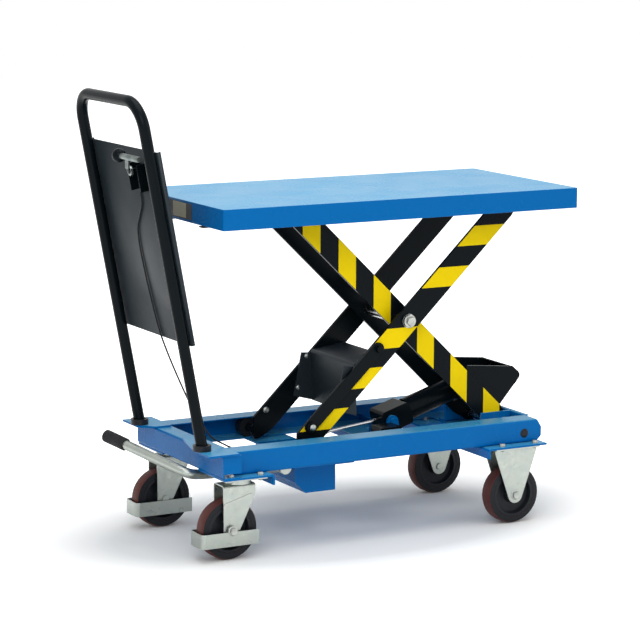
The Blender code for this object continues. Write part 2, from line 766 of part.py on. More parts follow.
def inner_arms():
    """The two inner arms, from the base pivot to the top rollers, and the centre shaft."""
    middle = INNER_ARM_Y + ARM_THICKNESS / 2
    axis = Vector((ROLLER_AXIS_X, 0.0, TOP_AXIS_Z))
    lie = side_view_turn(-ARM_ANGLE)
    for side, name in ((-1, "inner_arm_near"), (1, "inner_arm_far")):
        place = axis + Vector((0.0, side * middle, 0.0))
        arm = add_piece(name, arm_mesh(-1), "black_paint", INNER, place, lie)
        weld_stub_axle(arm, tuple(axis), side, INNER_ARM_Y, TOP_ROLLER_Y, TOP_ROLLER_WIDTH)
    outer = OUTER_ARM_Y + ARM_THICKNESS + GAP
    inner = INNER_ARM_Y + ARM_THICKNESS + GAP
    washer = SHAFT_R * 1.8
    spacer = SHAFT_R * 1.5
    nut = SHAFT_R * 1.1
    half = [
        (nut, outer + SHAFT_R, outer + SHAFT_R * 0.4),
        (washer, outer + SHAFT_R * 0.4, outer),
        (SHAFT_R, outer, OUTER_ARM_Y - GAP),
        (spacer, OUTER_ARM_Y - GAP, inner),
        (SHAFT_R, inner, INNER_ARM_Y - GAP),
    ]
    tube = INNER_ARM_Y - GAP
    mirrored = [(radius, -lower, -upper) for radius, upper, lower in half[::-1]]
    steps = half + [(spacer, tube, -tube)] + mirrored
    turned_piece("centre_shaft", stepped_profile(steps), "bright_steel", INNER, tuple(CENTRE_PIVOT))


def lift_bracket():
    """Scoop of folded sheet between the inner arms that the rod pushes on, open at the top, with its pin."""
    half = INNER_ARM_Y - GAP
    corners = [
        LIFT_TOP_FRONT, LIFT_TOP_BACK, LIFT_BACK_CORNER, LIFT_LOW_BACK, LIFT_LOW_FRONT, LIFT_FRONT]
    outline = []
    for index, corner in enumerate(corners):
        if corner is LIFT_BACK_CORNER:
            trio = [corners[index - 1], corner, corners[index + 1]]
            outline.extend(rounded_path(trio, LIFT_CORNER_R)[1:-1])
        else:
            outline.append(tuple(corner))
    bracket = add_piece(
        "lift_bracket", plate_mesh([outline], 2.0 * half), "black_paint", INNER, (0.0, 0.0, 0.0), SIDE_VIEW)
    web = (LIFT_BACK_CORNER - LIFT_LOW_BACK).normalized()
    inward = Vector((-web.y, web.x))
    low = LIFT_LOW_BACK + inward * LIFT_SHEET - web * ARM_DEPTH
    high = LIFT_BACK_CORNER + inward * LIFT_SHEET + web * ARM_DEPTH
    pocket = [tuple(low), tuple(high), tuple(high + inward * ARM_DEPTH * 4), tuple(low + inward * ARM_DEPTH * 4)]
    space = add_tool(plate_mesh([pocket], 2.0 * (half - LIFT_SHEET)), (0.0, 0.0, 0.0), SIDE_VIEW)
    combine(bracket, space, "DIFFERENCE")
    pin = add_tool(rod_mesh(SHAFT_R, -half + WELD, half - WELD), tuple(LIFT_PIN), ALONG_Y)
    combine(bracket, pin, "UNION")


def outer_arms():
    """The two outer arms, from the base rollers to the platform pivot."""
    middle = OUTER_ARM_Y + ARM_THICKNESS / 2
    axis = Vector((ROLLER_AXIS_X, 0.0, BASE_AXIS_Z))
    lie = side_view_turn(ARM_ANGLE)
    for side, name in ((-1, "outer_arm_near"), (1, "outer_arm_far")):
        place = axis + Vector((0.0, side * middle, 0.0))
        arm = add_piece(name, arm_mesh(1), "black_paint", OUTER, place, lie)
        weld_stub_axle(arm, tuple(axis), side, OUTER_ARM_Y, BASE_ROLLER_Y, ROLLER_WIDTH)
        if side < 0:
            prop_stud(arm)


def prop_stud(arm):
    """Headed stud on the near outer arm that the service prop swings on."""
    face = OUTER_ARM_Y + ARM_THICKNESS
    under = face + GAP + PROP_T + GAP
    steps = [
        (PROP_STUD_R, -face + WELD, -under),
        (PROP_HEAD_R, -under, -under - PROP_T),
    ]
    place = (PROP_PIVOT.x, 0.0, PROP_PIVOT.y)
    combine(arm, turned_tool(stepped_profile(steps), place, facets=COARSE), "UNION")


def cross_plate():
    """Folded plate that ties the outer arms together, with a flange against each arm."""
    half = OUTER_ARM_Y - GAP
    path = rounded_path([CROSS_TOP_END, CROSS_CORNER, CROSS_LOW_END], CROSS_FOLD_R)
    plate = sheet_piece(
        "cross_plate", path, 2.0 * half - 2.0 * WELD, CROSS_SHEET, "grey_paint", OUTER, (0.0, 0.0, 0.0), SIDE_VIEW)
    along = (CROSS_LOW_END - CROSS_CORNER).normalized()
    begin = CROSS_CORNER + along * CROSS_FOLD_R
    end = CROSS_LOW_END - along * WELD
    outline = [tuple(begin), tuple(end), tuple(CROSS_FLANGE_LOW), tuple(CROSS_FLANGE_HIGH)]
    for side in (-1, 1):
        flange = add_tool(
            plate_mesh([outline], CROSS_SHEET), (0.0, side * (half - CROSS_SHEET / 2), 0.0), SIDE_VIEW)
        combine(plate, flange, "UNION")


def service_prop():
    """Bar that hangs on the near outer arm, and swings over to block the roller for service."""
    frame = joint_frame("service_prop_frame", (PROP_PIVOT.x, 0.0, PROP_PIVOT.y))
    along = PROP_END - PROP_PIVOT
    tilt = math.atan2(along.y, along.x)
    half = PROP_WIDTH / 2
    quarter = math.pi / 2
    outline = arc((0.0, 0.0), half, quarter, 3.0 * quarter) + arc((along.length, 0.0), half, -quarter, quarter)
    hole = circle((0.0, 0.0), PROP_STUD_R + GAP, COARSE)
    middle = -(OUTER_ARM_Y + ARM_THICKNESS + GAP + PROP_T / 2)
    bar = add_piece(
        "service_prop", plate_mesh([outline, hole], PROP_T), "black_paint", frame,
        (PROP_PIVOT.x, middle, PROP_PIVOT.y), side_view_turn(tilt))
    outer = middle - PROP_T / 2
    peg = add_tool(
        rod_mesh(PROP_PEG_R, outer - PROP_PEG_LENGTH, outer + PROP_T / 2, COARSE),
        (PROP_END.x, 0.0, PROP_END.y), ALONG_Y)
    combine(bar, peg, "UNION")


def roller(name, radius, width, side, inner_y, frame_at):
    """One roller on its own frame, turning on its axle."""
    middle = side * (inner_y + width / 2)
    place = Vector(frame_at) + Vector((0.0, middle, 0.0))
    frame = joint_frame(name + "_frame", place)
    turned_piece(
        name, ring_profile(SHAFT_R + GAP, radius, width / 2), "black_plastic", frame, tuple(place), closed=True)


def rollers():
    """Four rollers: two in the side rails and two in the guides under the platform."""
    low = (ROLLER_AXIS_X, 0.0, BASE_AXIS_Z)
    high = (ROLLER_AXIS_X, 0.0, TOP_AXIS_Z)
    for side, word in ((-1, "near"), (1, "far")):
        roller("base_roller_" + word, ROLLER_R, ROLLER_WIDTH, side, BASE_ROLLER_Y, low)
        roller("top_roller_" + word, ROLLER_R, TOP_ROLLER_WIDTH, side, TOP_ROLLER_Y, high)


def platform_tray():
    """Platform: a plate whose four edges are folded down, open below."""
    start = PLATFORM_END_X - PLATFORM_LENGTH
    half = PLATFORM_WIDTH / 2
    low = PLATFORM_TOP_Z - PLATFORM_RIM
    outline = rounded_outline(
        [(start, -half), (PLATFORM_END_X, -half), (PLATFORM_END_X, half), (start, half)], PLATFORM_CORNER_R)
    tray = add_piece(
        "platform_tray", plate_mesh([outline], PLATFORM_RIM), "blue_paint", PLATFORM,
        (0.0, 0.0, PLATFORM_TOP_Z - PLATFORM_RIM / 2))
    wall = PLATFORM_SHEET
    inside = box_mesh(
        (start + wall, -half + wall, low - wall), (PLATFORM_END_X - wall, half - wall, PLATE_BOTTOM_Z))
    combine(tray, add_tool(inside), "DIFFERENCE")
    edge = tray.modifiers.new("edge", "BEVEL")
    edge.width = 0.002
    edge.segments = 2
    edge.limit_method = "ANGLE"
    edge.angle_limit = math.radians(50.0)
    tray.modifiers.move(1, 0)


def roller_guides():
    """Two channels under the platform, open inwards, for the top rollers."""
    high = PLATE_BOTTOM_Z - GAP - GUIDE_SHEET / 2
    low = TOP_AXIS_Z - ROLLER_R - ROLLER_PLAY - GUIDE_SHEET / 2
    length = GUIDE_END_X - GUIDE_START_X
    middle = (GUIDE_END_X + GUIDE_START_X) / 2
    web = GUIDE_WEB_Y - GUIDE_SHEET / 2
    for side, name in ((-1, "roller_guide_near"), (1, "roller_guide_far")):
        inner = side * (GUIDE_WEB_Y - GUIDE_WIDTH)
        path = rounded_path([(inner, low), (side * web, low), (side * web, high), (inner, high)], GUIDE_SHEET)
        sheet_piece(name, path, length, GUIDE_SHEET, "black_paint", PLATFORM, (middle, 0.0, 0.0), END_VIEW)


def platform_pivot():
    """Two lugs under the platform and the shaft that joins them to the outer arms."""
    sheet = BRACKET_SHEET
    foot = PLATE_BOTTOM_Z - GAP - sheet / 2
    inner = OUTER_ARM_Y + ARM_THICKNESS + 0.003
    low = TOP_AXIS_Z - ARM_NOSE_R
    length = 0.074
    for side, name in ((-1, "platform_lug_near"), (1, "platform_lug_far")):
        web = side * (inner + sheet / 2)
        path = rounded_path([(web + side * BRACKET_FOOT, foot), (web, foot), (web, low)], sheet)
        lug = sheet_piece(
            name, path, length, sheet, "black_paint", PLATFORM, (FIXED_PIVOT_X, 0.0, 0.0), END_VIEW)
        bore = add_tool(
            rod_mesh(SHAFT_R + GAP, side * web - sheet, side * web + sheet),
            (FIXED_PIVOT_X, 0.0, TOP_AXIS_Z), (side * ALONG_Y[0], 0.0, 0.0))
        combine(lug, bore, "DIFFERENCE")
    head = inner + sheet + GAP
    steps = [
        (SHAFT_R * 1.5, head + SHAFT_R * 0.4, head),
        (SHAFT_R, head, -head),
        (SHAFT_R * 1.5, -head, -head - SHAFT_R * 0.4),
    ]
    turned_piece("platform_pivot_shaft", stepped_profile(steps), "bright_steel", PLATFORM, tuple(TOP_PIVOT))


def cylinder_carrier():
    """Channel across the rails with the two lugs and the pin of the cylinder's foot."""
    half = RAIL_OUTER_Y - FRAME_SHEET - FRAME_FOLD_R
    low = RAIL_BOTTOM_Z + FRAME_SHEET + GAP + CARRIER_SHEET / 2
    start = CARRIER_START_X + CARRIER_SHEET / 2
    end = CARRIER_END_X - CARRIER_SHEET / 2
    rise = low + CARRIER_RISE
    path = rounded_path([(start, rise), (start, low), (end, low), (end, rise)], CARRIER_SHEET)
    carrier = sheet_piece(
        "cylinder_carrier", path, 2.0 * half, CARRIER_SHEET, "blue_paint", BASE, (0.0, 0.0, 0.0), SIDE_VIEW)
    reach = CARRIER_LUG_HALF_LENGTH
    foot = low + CARRIER_SHEET / 2 - WELD
    crown = arc((CYLINDER_BASE_X, CYLINDER_BASE_Z), CYLINDER_PIN_R * 2.0, 0.0, math.pi)
    outline = [(CYLINDER_BASE_X - reach, foot), (CYLINDER_BASE_X + reach, foot), *crown]
    inner = CYLINDER_BLOCK_HALF_WIDTH + GAP * 2
    for side in (-1, 1):
        lug = add_tool(
            plate_mesh([outline], CARRIER_LUG_T), (0.0, side * (inner + CARRIER_LUG_T / 2), 0.0), SIDE_VIEW)
        combine(carrier, lug, "UNION")
    end_y = inner + CARRIER_LUG_T * 1.5
    pin = add_tool(rod_mesh(CYLINDER_PIN_R, -end_y, end_y), tuple(CYLINDER_BASE), ALONG_Y)
    combine(carrier, pin, "UNION")


def cylinder_axis():
    """Direction of the cylinder at rest, from its foot pin to the lift pin."""
    return (LIFT_PIN - CYLINDER_BASE).normalized()


def cylinder():
    """Cylinder on its foot pin: a foot block, a tube and a gland, with the bore that the rod slides in."""
    frame = joint_frame("cylinder_frame", CYLINDER_BASE)
    aim = cylinder_axis()
    tilt = math.atan2(aim.z, aim.x)
    lie = (Euler((0.0, -tilt, 0.0)).to_matrix() @ Euler((0.0, math.pi / 2, 0.0)).to_matrix()).to_quaternion()
    gland = CYLINDER_TUBE_END - GLAND_LENGTH
    steps = [
        (GLAND_R, CYLINDER_TUBE_END, gland),
        (CYLINDER_R, gland, CYLINDER_BLOCK_REACH - WELD),
    ]
    body = turned_piece(
        "cylinder", stepped_profile(steps), "black_paint", frame, tuple(CYLINDER_BASE), lie, facets=MEDIUM)
    high = CYLINDER_BLOCK_HALF_HEIGHT
    back = CYLINDER_FOOT_BACK
    outline = rounded_outline(
        [(-back, -high), (CYLINDER_BLOCK_REACH, -high), (CYLINDER_BLOCK_REACH, high), (-back, high)], 0.010)
    block = add_tool(
        plate_mesh([outline], 2.0 * CYLINDER_BLOCK_HALF_WIDTH), tuple(CYLINDER_BASE), side_view_turn(tilt))
    combine(body, block, "UNION")
    bore = add_tool(
        rod_mesh(ROD_R + GAP, CYLINDER_PIN_R * 2.5, CYLINDER_TUBE_END * 1.1), tuple(CYLINDER_BASE), lie)
    combine(body, bore, "DIFFERENCE")
    wide = CYLINDER_BLOCK_HALF_WIDTH * 1.2
    eye = add_tool(rod_mesh(CYLINDER_PIN_R + GAP, -wide, wide), tuple(CYLINDER_BASE), ALONG_Y)
    combine(body, eye, "DIFFERENCE")
    reach = (LIFT_PIN - CYLINDER_BASE).length - SHAFT_R - THRUST_PLAY
    rod_frame = joint_frame("piston_rod_frame", CYLINDER_BASE + aim * reach)
    rod_steps = [
        (THRUST_PAD_R, reach, reach - THRUST_PAD_LENGTH),
        (ROD_R, reach - THRUST_PAD_LENGTH, ROD_INNER_END),
    ]
    turned_piece(
        "piston_rod", stepped_profile(rod_steps), "bright_steel", rod_frame, tuple(CYLINDER_BASE), lie)


def valve_block():
    """Valve block on the carrier with the stem of the valve lever, and the lever itself."""
    low = RAIL_BOTTOM_Z + FRAME_SHEET + GAP + CARRIER_SHEET + GAP
    face = -VALVE_NEAR_Y
    block = add_piece(
        "valve_block", box_mesh(
            (VALVE_START_X, VALVE_NEAR_Y, low), (VALVE_START_X + VALVE_LENGTH, VALVE_FAR_Y, low + VALVE_HEIGHT)),
        "black_paint", BASE)
    under = face + GAP + VALVE_LEVER_T + GAP
    steps = [
        (VALVE_STEM_R, -face + VALVE_STEM_R, -under),
        (VALVE_STEM_R * 1.7, -under, -under - VALVE_STEM_R * 0.6),
    ]
    place = (VALVE_PIVOT_X, 0.0, VALVE_PIVOT_Z)
    combine(block, turned_tool(stepped_profile(steps), place, facets=COARSE), "UNION")
    frame = joint_frame("valve_lever_frame", place)
    quarter = math.pi / 2
    wide = VALVE_LEVER_HALF_WIDTH
    outline = arc((0.0, 0.0), wide, -quarter, quarter) + arc(
        (-VALVE_LEVER_REACH, 0.0), wide * 0.7, quarter, 3.0 * quarter)
    hole = circle((0.0, 0.0), VALVE_STEM_R + GAP, COARSE)
    middle = -(face + GAP + VALVE_LEVER_T / 2)
    add_piece(
        "valve_lever", plate_mesh([outline, hole], VALVE_LEVER_T), "zinc", frame,
        (VALVE_PIVOT_X, middle, VALVE_PIVOT_Z), SIDE_VIEW)


def pump_saddle():
    """Pocket under the rails that holds the pump, with hanger ears and the lugs of the pedal shaft."""
    top = RAIL_BOTTOM_Z - GAP
    corner = [
        (SADDLE_START_X, top - SADDLE_SHEET / 2),
        (SADDLE_START_X, SADDLE_BOTTOM_Z + SADDLE_CHAMFER),
        (SADDLE_START_X + SADDLE_CHAMFER, SADDLE_BOTTOM_Z),
        (SADDLE_END_X, SADDLE_BOTTOM_Z),
        (SADDLE_END_X, top - SADDLE_SHEET / 2),
    ]
    width = SADDLE_FAR_Y - SADDLE_NEAR_Y
    middle = (SADDLE_FAR_Y + SADDLE_NEAR_Y) / 2
    saddle = add_piece(
        "pump_saddle", plate_mesh([corner], width), "blue_paint", BASE, (0.0, middle, 0.0), SIDE_VIEW)
    ears = box_mesh(
        (SADDLE_START_X - WELD, -SADDLE_EAR_Y, top - SADDLE_SHEET), (SADDLE_END_X + WELD, SADDLE_EAR_Y, top))
    combine(saddle, add_tool(ears), "UNION")
    lug_low = PEDAL_PIVOT_Z - PEDAL_HUB_R
    lug_outline = [
        (SADDLE_START_X + WELD, lug_low),
        (SADDLE_START_X + WELD, top - SADDLE_SHEET / 2),
        *arc((PEDAL_PIVOT_X, PEDAL_PIVOT_Z), PEDAL_HUB_R, math.pi / 2, 1.5 * math.pi),
    ]
    for side in (-1, 1):
        lug = add_tool(
            plate_mesh([lug_outline], PEDAL_LUG_T), (0.0, side * (PEDAL_LUG_Y + PEDAL_LUG_T / 2), 0.0), SIDE_VIEW)
        combine(saddle, lug, "UNION")
    sheet = SADDLE_SHEET
    pocket = [
        (SADDLE_START_X + sheet, top + sheet),
        (SADDLE_START_X + sheet, SADDLE_BOTTOM_Z + SADDLE_CHAMFER + sheet / 2),
        (SADDLE_START_X + SADDLE_CHAMFER + sheet / 2, SADDLE_BOTTOM_Z + sheet),
        (SADDLE_END_X - sheet, SADDLE_BOTTOM_Z + sheet),
        (SADDLE_END_X - sheet, top + sheet),
    ]
    combine(saddle, add_tool(plate_mesh([pocket], width - 2.0 * sheet), (0.0, middle, 0.0), SIDE_VIEW), "DIFFERENCE")
    bore = add_tool(
        rod_mesh(PEDAL_SHAFT_R + GAP, -PEDAL_LUG_Y * 1.5, PEDAL_LUG_Y * 1.5), tuple(PEDAL_PIVOT), ALONG_Y)
    combine(saddle, bore, "DIFFERENCE")
    plunger_hole = add_tool(
        rod_mesh(PLUNGER_R * 1.3, -sheet * 2, sheet * 2, COARSE),
        (SADDLE_START_X, 0.0, PEDAL_PIVOT_Z - PEDAL_CRANK), (0.0, math.pi / 2, 0.0))
    combine(saddle, plunger_hole, "DIFFERENCE")


def pump():
    """Pump block in the saddle, its plunger, and the pipe that leads to the cylinder."""
    low = SADDLE_BOTTOM_Z + SADDLE_SHEET + GAP
    start = SADDLE_START_X + SADDLE_SHEET + SADDLE_CHAMFER * 0.3
    half = PUMP_WIDTH / 2
    chamfer = SADDLE_CHAMFER * 0.75
    outline = [
        (start, low + chamfer), (start + chamfer, low), (start + PUMP_LENGTH, low),
        (start + PUMP_LENGTH, low + PUMP_HEIGHT), (start, low + PUMP_HEIGHT),
    ]
    block = add_piece(
        "pump_block", plate_mesh([outline], 2.0 * half), "black_paint", BASE, (0.0, 0.0, 0.0), SIDE_VIEW)
    axis_z = PEDAL_PIVOT_Z - PEDAL_CRANK
    nose = PEDAL_PIVOT_X + PEDAL_CRANK_TIP_R + GAP
    lie = (0.0, math.pi / 2, 0.0)
    bore = add_tool(rod_mesh(PLUNGER_R + GAP, -PLUNGER_LENGTH, PLUNGER_LENGTH, COARSE), (start, 0.0, axis_z), lie)
    combine(block, bore, "DIFFERENCE")
    frame = joint_frame("pump_plunger_frame", (nose, 0.0, axis_z))
    add_piece(
        "pump_plunger", rod_mesh(PLUNGER_R, 0.0, PLUNGER_LENGTH, COARSE), "bright_steel", frame,
        (nose, 0.0, axis_z), lie)
    top = low + PUMP_HEIGHT + GAP
    rise_x = start + PUMP_LENGTH * 0.75
    aim = cylinder_axis()
    above = Vector((-aim.z, 0.0, aim.x))
    foot = CYLINDER_BASE - aim * (CYLINDER_FOOT_BACK + PIPE_PLAY) + above * CYLINDER_PIN_R
    run = foot - aim * PIPE_STRAIGHT
    corners = [(rise_x, top), (rise_x, top + PIPE_RISE), (PIPE_KNEE_X, PIPE_KNEE_Z), (run.x, run.z), (foot.x, foot.z)]
    path = [(x, 0.0, z) for x, z in rounded_path(corners, PIPE_BEND_R, 4)]
    add_piece("pressure_pipe", tube_mesh(path, PIPE_R, 2), "bright_steel", BASE)


def pedal():
    """Pedal tube with its rubber sleeve, on a shaft with a crank that pushes the plunger."""
    frame = joint_frame("pedal_frame", PEDAL_PIVOT)
    hub_face = PEDAL_ARM_Y - PEDAL_HUB_R
    crank_half = PEDAL_CRANK_T / 2
    steps = [
        (PEDAL_SHAFT_R, PEDAL_LUG_Y + PEDAL_LUG_T * 2, PEDAL_ARM_Y + PEDAL_HUB_R),
        (PEDAL_HUB_R, PEDAL_ARM_Y + PEDAL_HUB_R, hub_face),
    ]
    shaft = turned_piece("pedal_shaft", stepped_profile(steps), "zinc", frame, tuple(PEDAL_PIVOT))
    outline = arc((0.0, 0.0), PEDAL_CRANK_TIP_R, 0.0, math.pi) + arc(
        (0.0, -PEDAL_CRANK), PEDAL_CRANK_TIP_R, math.pi, 2.0 * math.pi)
    crank = add_tool(plate_mesh([outline], 2.0 * crank_half), tuple(PEDAL_PIVOT), SIDE_VIEW)
    combine(shaft, crank, "UNION")
    start = PEDAL_TIP
    knee = PEDAL_KNEE
    turn_in = Vector((-0.385, PEDAL_ARM_Y, 0.190))
    hub = Vector((PEDAL_PIVOT_X, PEDAL_ARM_Y, PEDAL_PIVOT_Z))
    inward = (hub - turn_in).normalized()
    end = hub - inward * (PEDAL_HUB_R + GAP * 2)
    path = [start, *smooth_bend(start, knee, turn_in, end), end]
    add_piece("pedal_tube", tube_mesh([tuple(point) for point in path], PEDAL_TUBE_R, 4), "zinc", frame)
    along = (knee - start).normalized()
    cap = GAP + SLEEVE_WALL
    outer = PEDAL_TUBE_R + SLEEVE_WALL
    inner = PEDAL_TUBE_R + GAP
    cup = [
        (0.0, cap), (outer - SLEEVE_WALL, cap), (outer, GAP), (outer, -SLEEVE_LENGTH),
        (inner, -SLEEVE_LENGTH), (inner, GAP), (0.0, GAP)]
    lie = (-along).to_track_quat("Z", "Y")
    turned_piece("pedal_sleeve", cup, "rubber", frame, tuple(start), lie, facets=COARSE)


def smooth_bend(start, knee, turn_in, end, steps=5):
    """Points of the pedal's bend: a quadratic curve past the knee and a short one into the inner run."""
    first = knee + (start - knee).normalized() * 0.045
    middle = (knee + turn_in) / 2
    last = turn_in + (end - turn_in).normalized() * 0.030
    points = []
    for begin, corner, finish in ((first, knee, middle), (middle, turn_in, last)):
        for index in range(steps + 1):
            share = index / steps
            points.append(
                begin * (1.0 - share) ** 2 + corner * 2.0 * share * (1.0 - share) + finish * share ** 2)
    points.pop(steps + 1)
    return points


def bow_point(across, rise, back=0.0):
    """A point in the leaning plane of the push bow: across it, up along it, and back from it."""
    foot = Vector((BOW_FOOT_X, 0.0, BOW_FOOT_Z))
    return foot + Vector((0.0, across, 0.0)) + BOW_ALONG * rise + BOW_BACK * back


def push_bow():
    """Bent tube of the push bow, on its foot plates, with a collar round each foot."""
    plate_top = RAIL_TOP_Z - WELD + FOOT_PLATE_T
    low = (plate_top + GAP + BOW_TUBE_R * math.sin(BOW_LEAN) - BOW_FOOT_Z) / math.cos(BOW_LEAN)
    half = BOW_HALF_WIDTH
    corner = [(-half, low), (-half, BOW_RISE), (half, BOW_RISE), (half, low)]
    path = [tuple(bow_point(across, rise)) for across, rise in rounded_path(corner, BOW_BEND_R, 8)]
    add_piece("push_bow", tube_mesh(path, BOW_TUBE_R, 6), "black_paint", BASE)
    shift = COLLAR_HEIGHT * math.tan(BOW_LEAN) / 2
    inner = BOW_TUBE_R / math.cos(BOW_LEAN) + shift + GAP
    middle = plate_top + GAP + COLLAR_HEIGHT / 2
    x = BOW_FOOT_X - (middle - BOW_FOOT_Z) * math.tan(BOW_LEAN)
    for side, name in ((-1, "bow_collar_near"), (1, "bow_collar_far")):
        turned_piece(
            name, ring_profile(inner, inner + COLLAR_WALL, COLLAR_HEIGHT / 2), "black_plastic", BASE,
            (x, side * half, middle), UPRIGHT, closed=True)


def bow_turn():
    """Turn of a flat outline drawn as across and rise into the bow's plane, with its thickness to the back."""
    matrix = Matrix((
        (0.0, BOW_ALONG.x, BOW_BACK.x),
        (1.0, 0.0, 0.0),
        (0.0, BOW_ALONG.z, BOW_BACK.z)))
    return matrix.to_quaternion()


def bow_section_turn():
    """Turn of a section drawn as across and back, whose strip runs along the bow's slope."""
    matrix = Matrix((
        (0.0, BOW_BACK.x, -BOW_ALONG.x),
        (1.0, 0.0, 0.0),
        (0.0, BOW_BACK.z, -BOW_ALONG.z)))
    return matrix.to_quaternion()


def bow_panel():
    """Panel behind the uprights, with both long edges folded back."""
    middle = BOW_TUBE_R + GAP + PANEL_SHEET / 2
    wide = PANEL_HALF_WIDTH - PANEL_SHEET / 2
    back = middle + PANEL_FLANGE
    path = rounded_path([(-wide, back), (-wide, middle), (wide, middle), (wide, back)], PANEL_SHEET * 2)
    height = PANEL_HIGH - PANEL_LOW
    sheet_piece(
        "bow_panel", path, height, PANEL_SHEET, "grey_paint", BASE,
        bow_point(0.0, (PANEL_HIGH + PANEL_LOW) / 2), bow_section_turn())


def release_lever():
    """Bracket on the panel with its pivot stud, and the lever with its rod and ball knob."""
    face = BOW_TUBE_R
    sheet = LEVER_BRACKET_SHEET
    wide = LEVER_BRACKET_WIDTH / 2 - sheet / 2
    web = face - sheet / 2
    front = web - LEVER_BRACKET_DEPTH
    low = LEVER_RISE - LEVER_BRACKET_HEIGHT * 0.8
    path = rounded_path([(-wide, front), (-wide, web), (wide, web), (wide, front)], sheet)
    bracket = sheet_piece(
        "lever_bracket", path, LEVER_BRACKET_HEIGHT, sheet, "black_paint", BASE,
        bow_point(LEVER_Y, low + LEVER_BRACKET_HEIGHT / 2), bow_section_turn())
    plate_back = front - sheet
    plate_front = plate_back - LEVER_PLATE_T
    steps = [
        (PROP_STUD_R * 0.6, web, plate_front - GAP),
        (PROP_STUD_R, plate_front - GAP, plate_front - GAP - LEVER_PLATE_T),
    ]
    stud = turned_tool(
        stepped_profile(steps), bow_point(LEVER_Y, LEVER_RISE), bow_turn(), facets=COARSE)
    combine(bracket, stud, "UNION")
    frame = joint_frame("release_lever_frame", bow_point(LEVER_Y, LEVER_RISE))
    quarter = math.pi / 2
    outline = arc((0.0, LEVER_ARM), 0.009, 0.0, math.pi) + arc((0.0, 0.0), 0.011, math.pi, 2.0 * math.pi)
    hole = circle((0.0, 0.0), PROP_STUD_R * 0.6 + GAP, COARSE)
    lever = add_piece(
        "release_lever", plate_mesh([outline, hole], LEVER_PLATE_T), "black_paint", frame,
        bow_point(LEVER_Y, LEVER_RISE, plate_front + LEVER_PLATE_T / 2), bow_turn())
    ball = arc((0.0, 0.0), KNOB_R, quarter, -math.acos(LEVER_ROD_R / KNOB_R), 2 * ARC_STEPS)
    profile = [(0.0 if index == 0 else x, y) for index, (x, y) in enumerate(ball)]
    profile += [(LEVER_ROD_R, -LEVER_ROD_LENGTH - KNOB_R), (0.0, -LEVER_ROD_LENGTH - KNOB_R)]
    knob_y = LEVER_Y - 0.010 + LEVER_ROD_LENGTH + KNOB_R
    rod = turned_tool(
        profile, bow_point(knob_y, LEVER_RISE + LEVER_ARM, plate_front - LEVER_ROD_R * 0.5), ALONG_Y, facets=COARSE)
    combine(lever, rod, "UNION")


# Route of the release cable, chosen by hand: across, rise and distance behind the bow's plane on the panel
CABLE_ON_PANEL = (
    (-0.062, 0.630, 0.0115),
    (-0.058, 0.600, 0.0115),
    (-0.030, 0.565, 0.0115),
    (-0.008, 0.535, 0.0115),
    (0.001, 0.490, 0.0115),
    (-0.002, 0.420, 0.0115),
    (-0.010, 0.350, 0.0115),
    (-0.022, 0.285, 0.0115),
    (-0.046, 0.225, 0.0125),
    (-0.080, 0.160, 0.0150),
    (-0.115, 0.095, 0.0200),
    (-0.138, 0.050, 0.0300),
)
# The same route from the bow's foot into the chassis, as places in the layout
CABLE_IN_CHASSIS = (
    (-0.378, -0.1480, 0.2940),
    (-0.350, -0.1490, 0.2770),
    (-0.318, -0.1495, 0.2610),
    (-0.276, -0.1495, 0.2545),
    (-0.200, -0.1495, 0.2535),
    (-0.100, -0.1495, 0.2535),
    (0.000, -0.1495, 0.2535),
    (0.080, -0.1495, 0.2535),
    (0.125, -0.1480, 0.2525),
    (0.150, -0.1400, 0.2490),
    (0.164, -0.1260, 0.2440),
    (0.169, -0.1130, 0.2410),
    (0.170, -0.1028, 0.2400),
)
CABLE_SPACING = 0.014


def smooth_route(points, spacing):
    """Points at an even spacing along a smooth curve through the route's own points."""
    knots = [points[0] * 2.0 - points[1], *points, points[-1] * 2.0 - points[-2]]
    dense = []
    for before, start, end, after in zip(knots, knots[1:], knots[2:], knots[3:]):
        for index in range(12):
            t = index / 12
            dense.append(0.5 * (
                start * 2.0 + (end - before) * t
                + (before * 2.0 - start * 5.0 + end * 4.0 - after) * t ** 2
                + (start * 3.0 - before - end * 3.0 + after) * t ** 3))
    dense.append(points[-1])
    total = sum((b - a).length for a, b in zip(dense, dense[1:]))
    count = max(2, round(total / spacing))
    route = [dense[0]]
    travelled = 0.0
    target = total / count
    for a, b in zip(dense, dense[1:]):
        step = (b - a).length
        while travelled + step >= target and len(route) < count:
            route.append(a + (b - a) * ((target - travelled) / step))
            target += total / count
        travelled += step
    route.append(dense[-1])
    return route


def release_cable():
    """Cable from the lever bracket down the panel and along the near rail to the valve block."""
    points = [bow_point(*place) for place in CABLE_ON_PANEL]
    points += [Vector(place) for place in CABLE_IN_CHASSIS]
    path = [tuple(point) for point in smooth_route(points, CABLE_SPACING)]
    add_piece("release_cable", tube_mesh(path, CABLE_R, 2), "black_plastic", BASE)


def fork_outline(back_top, front_top, shoulder_z, top_z, axle_x):
    """Side outline of a fork: a top edge that tapers to a round tip below the axle."""
    tip = (axle_x, WHEEL_R)
    back = (back_top, shoulder_z)
    front = (front_top, shoulder_z)
    start = tangent_angle(tip, FORK_TIP_R, back, 1)
    end = tangent_angle(tip, FORK_TIP_R, front, -1)
    if end < start:
        end += 2.0 * math.pi
    lower = arc(tip, FORK_TIP_R, start, end, 2 * ARC_STEPS)
    return [(front_top, top_z), (back_top, top_z), back, *lower, front]


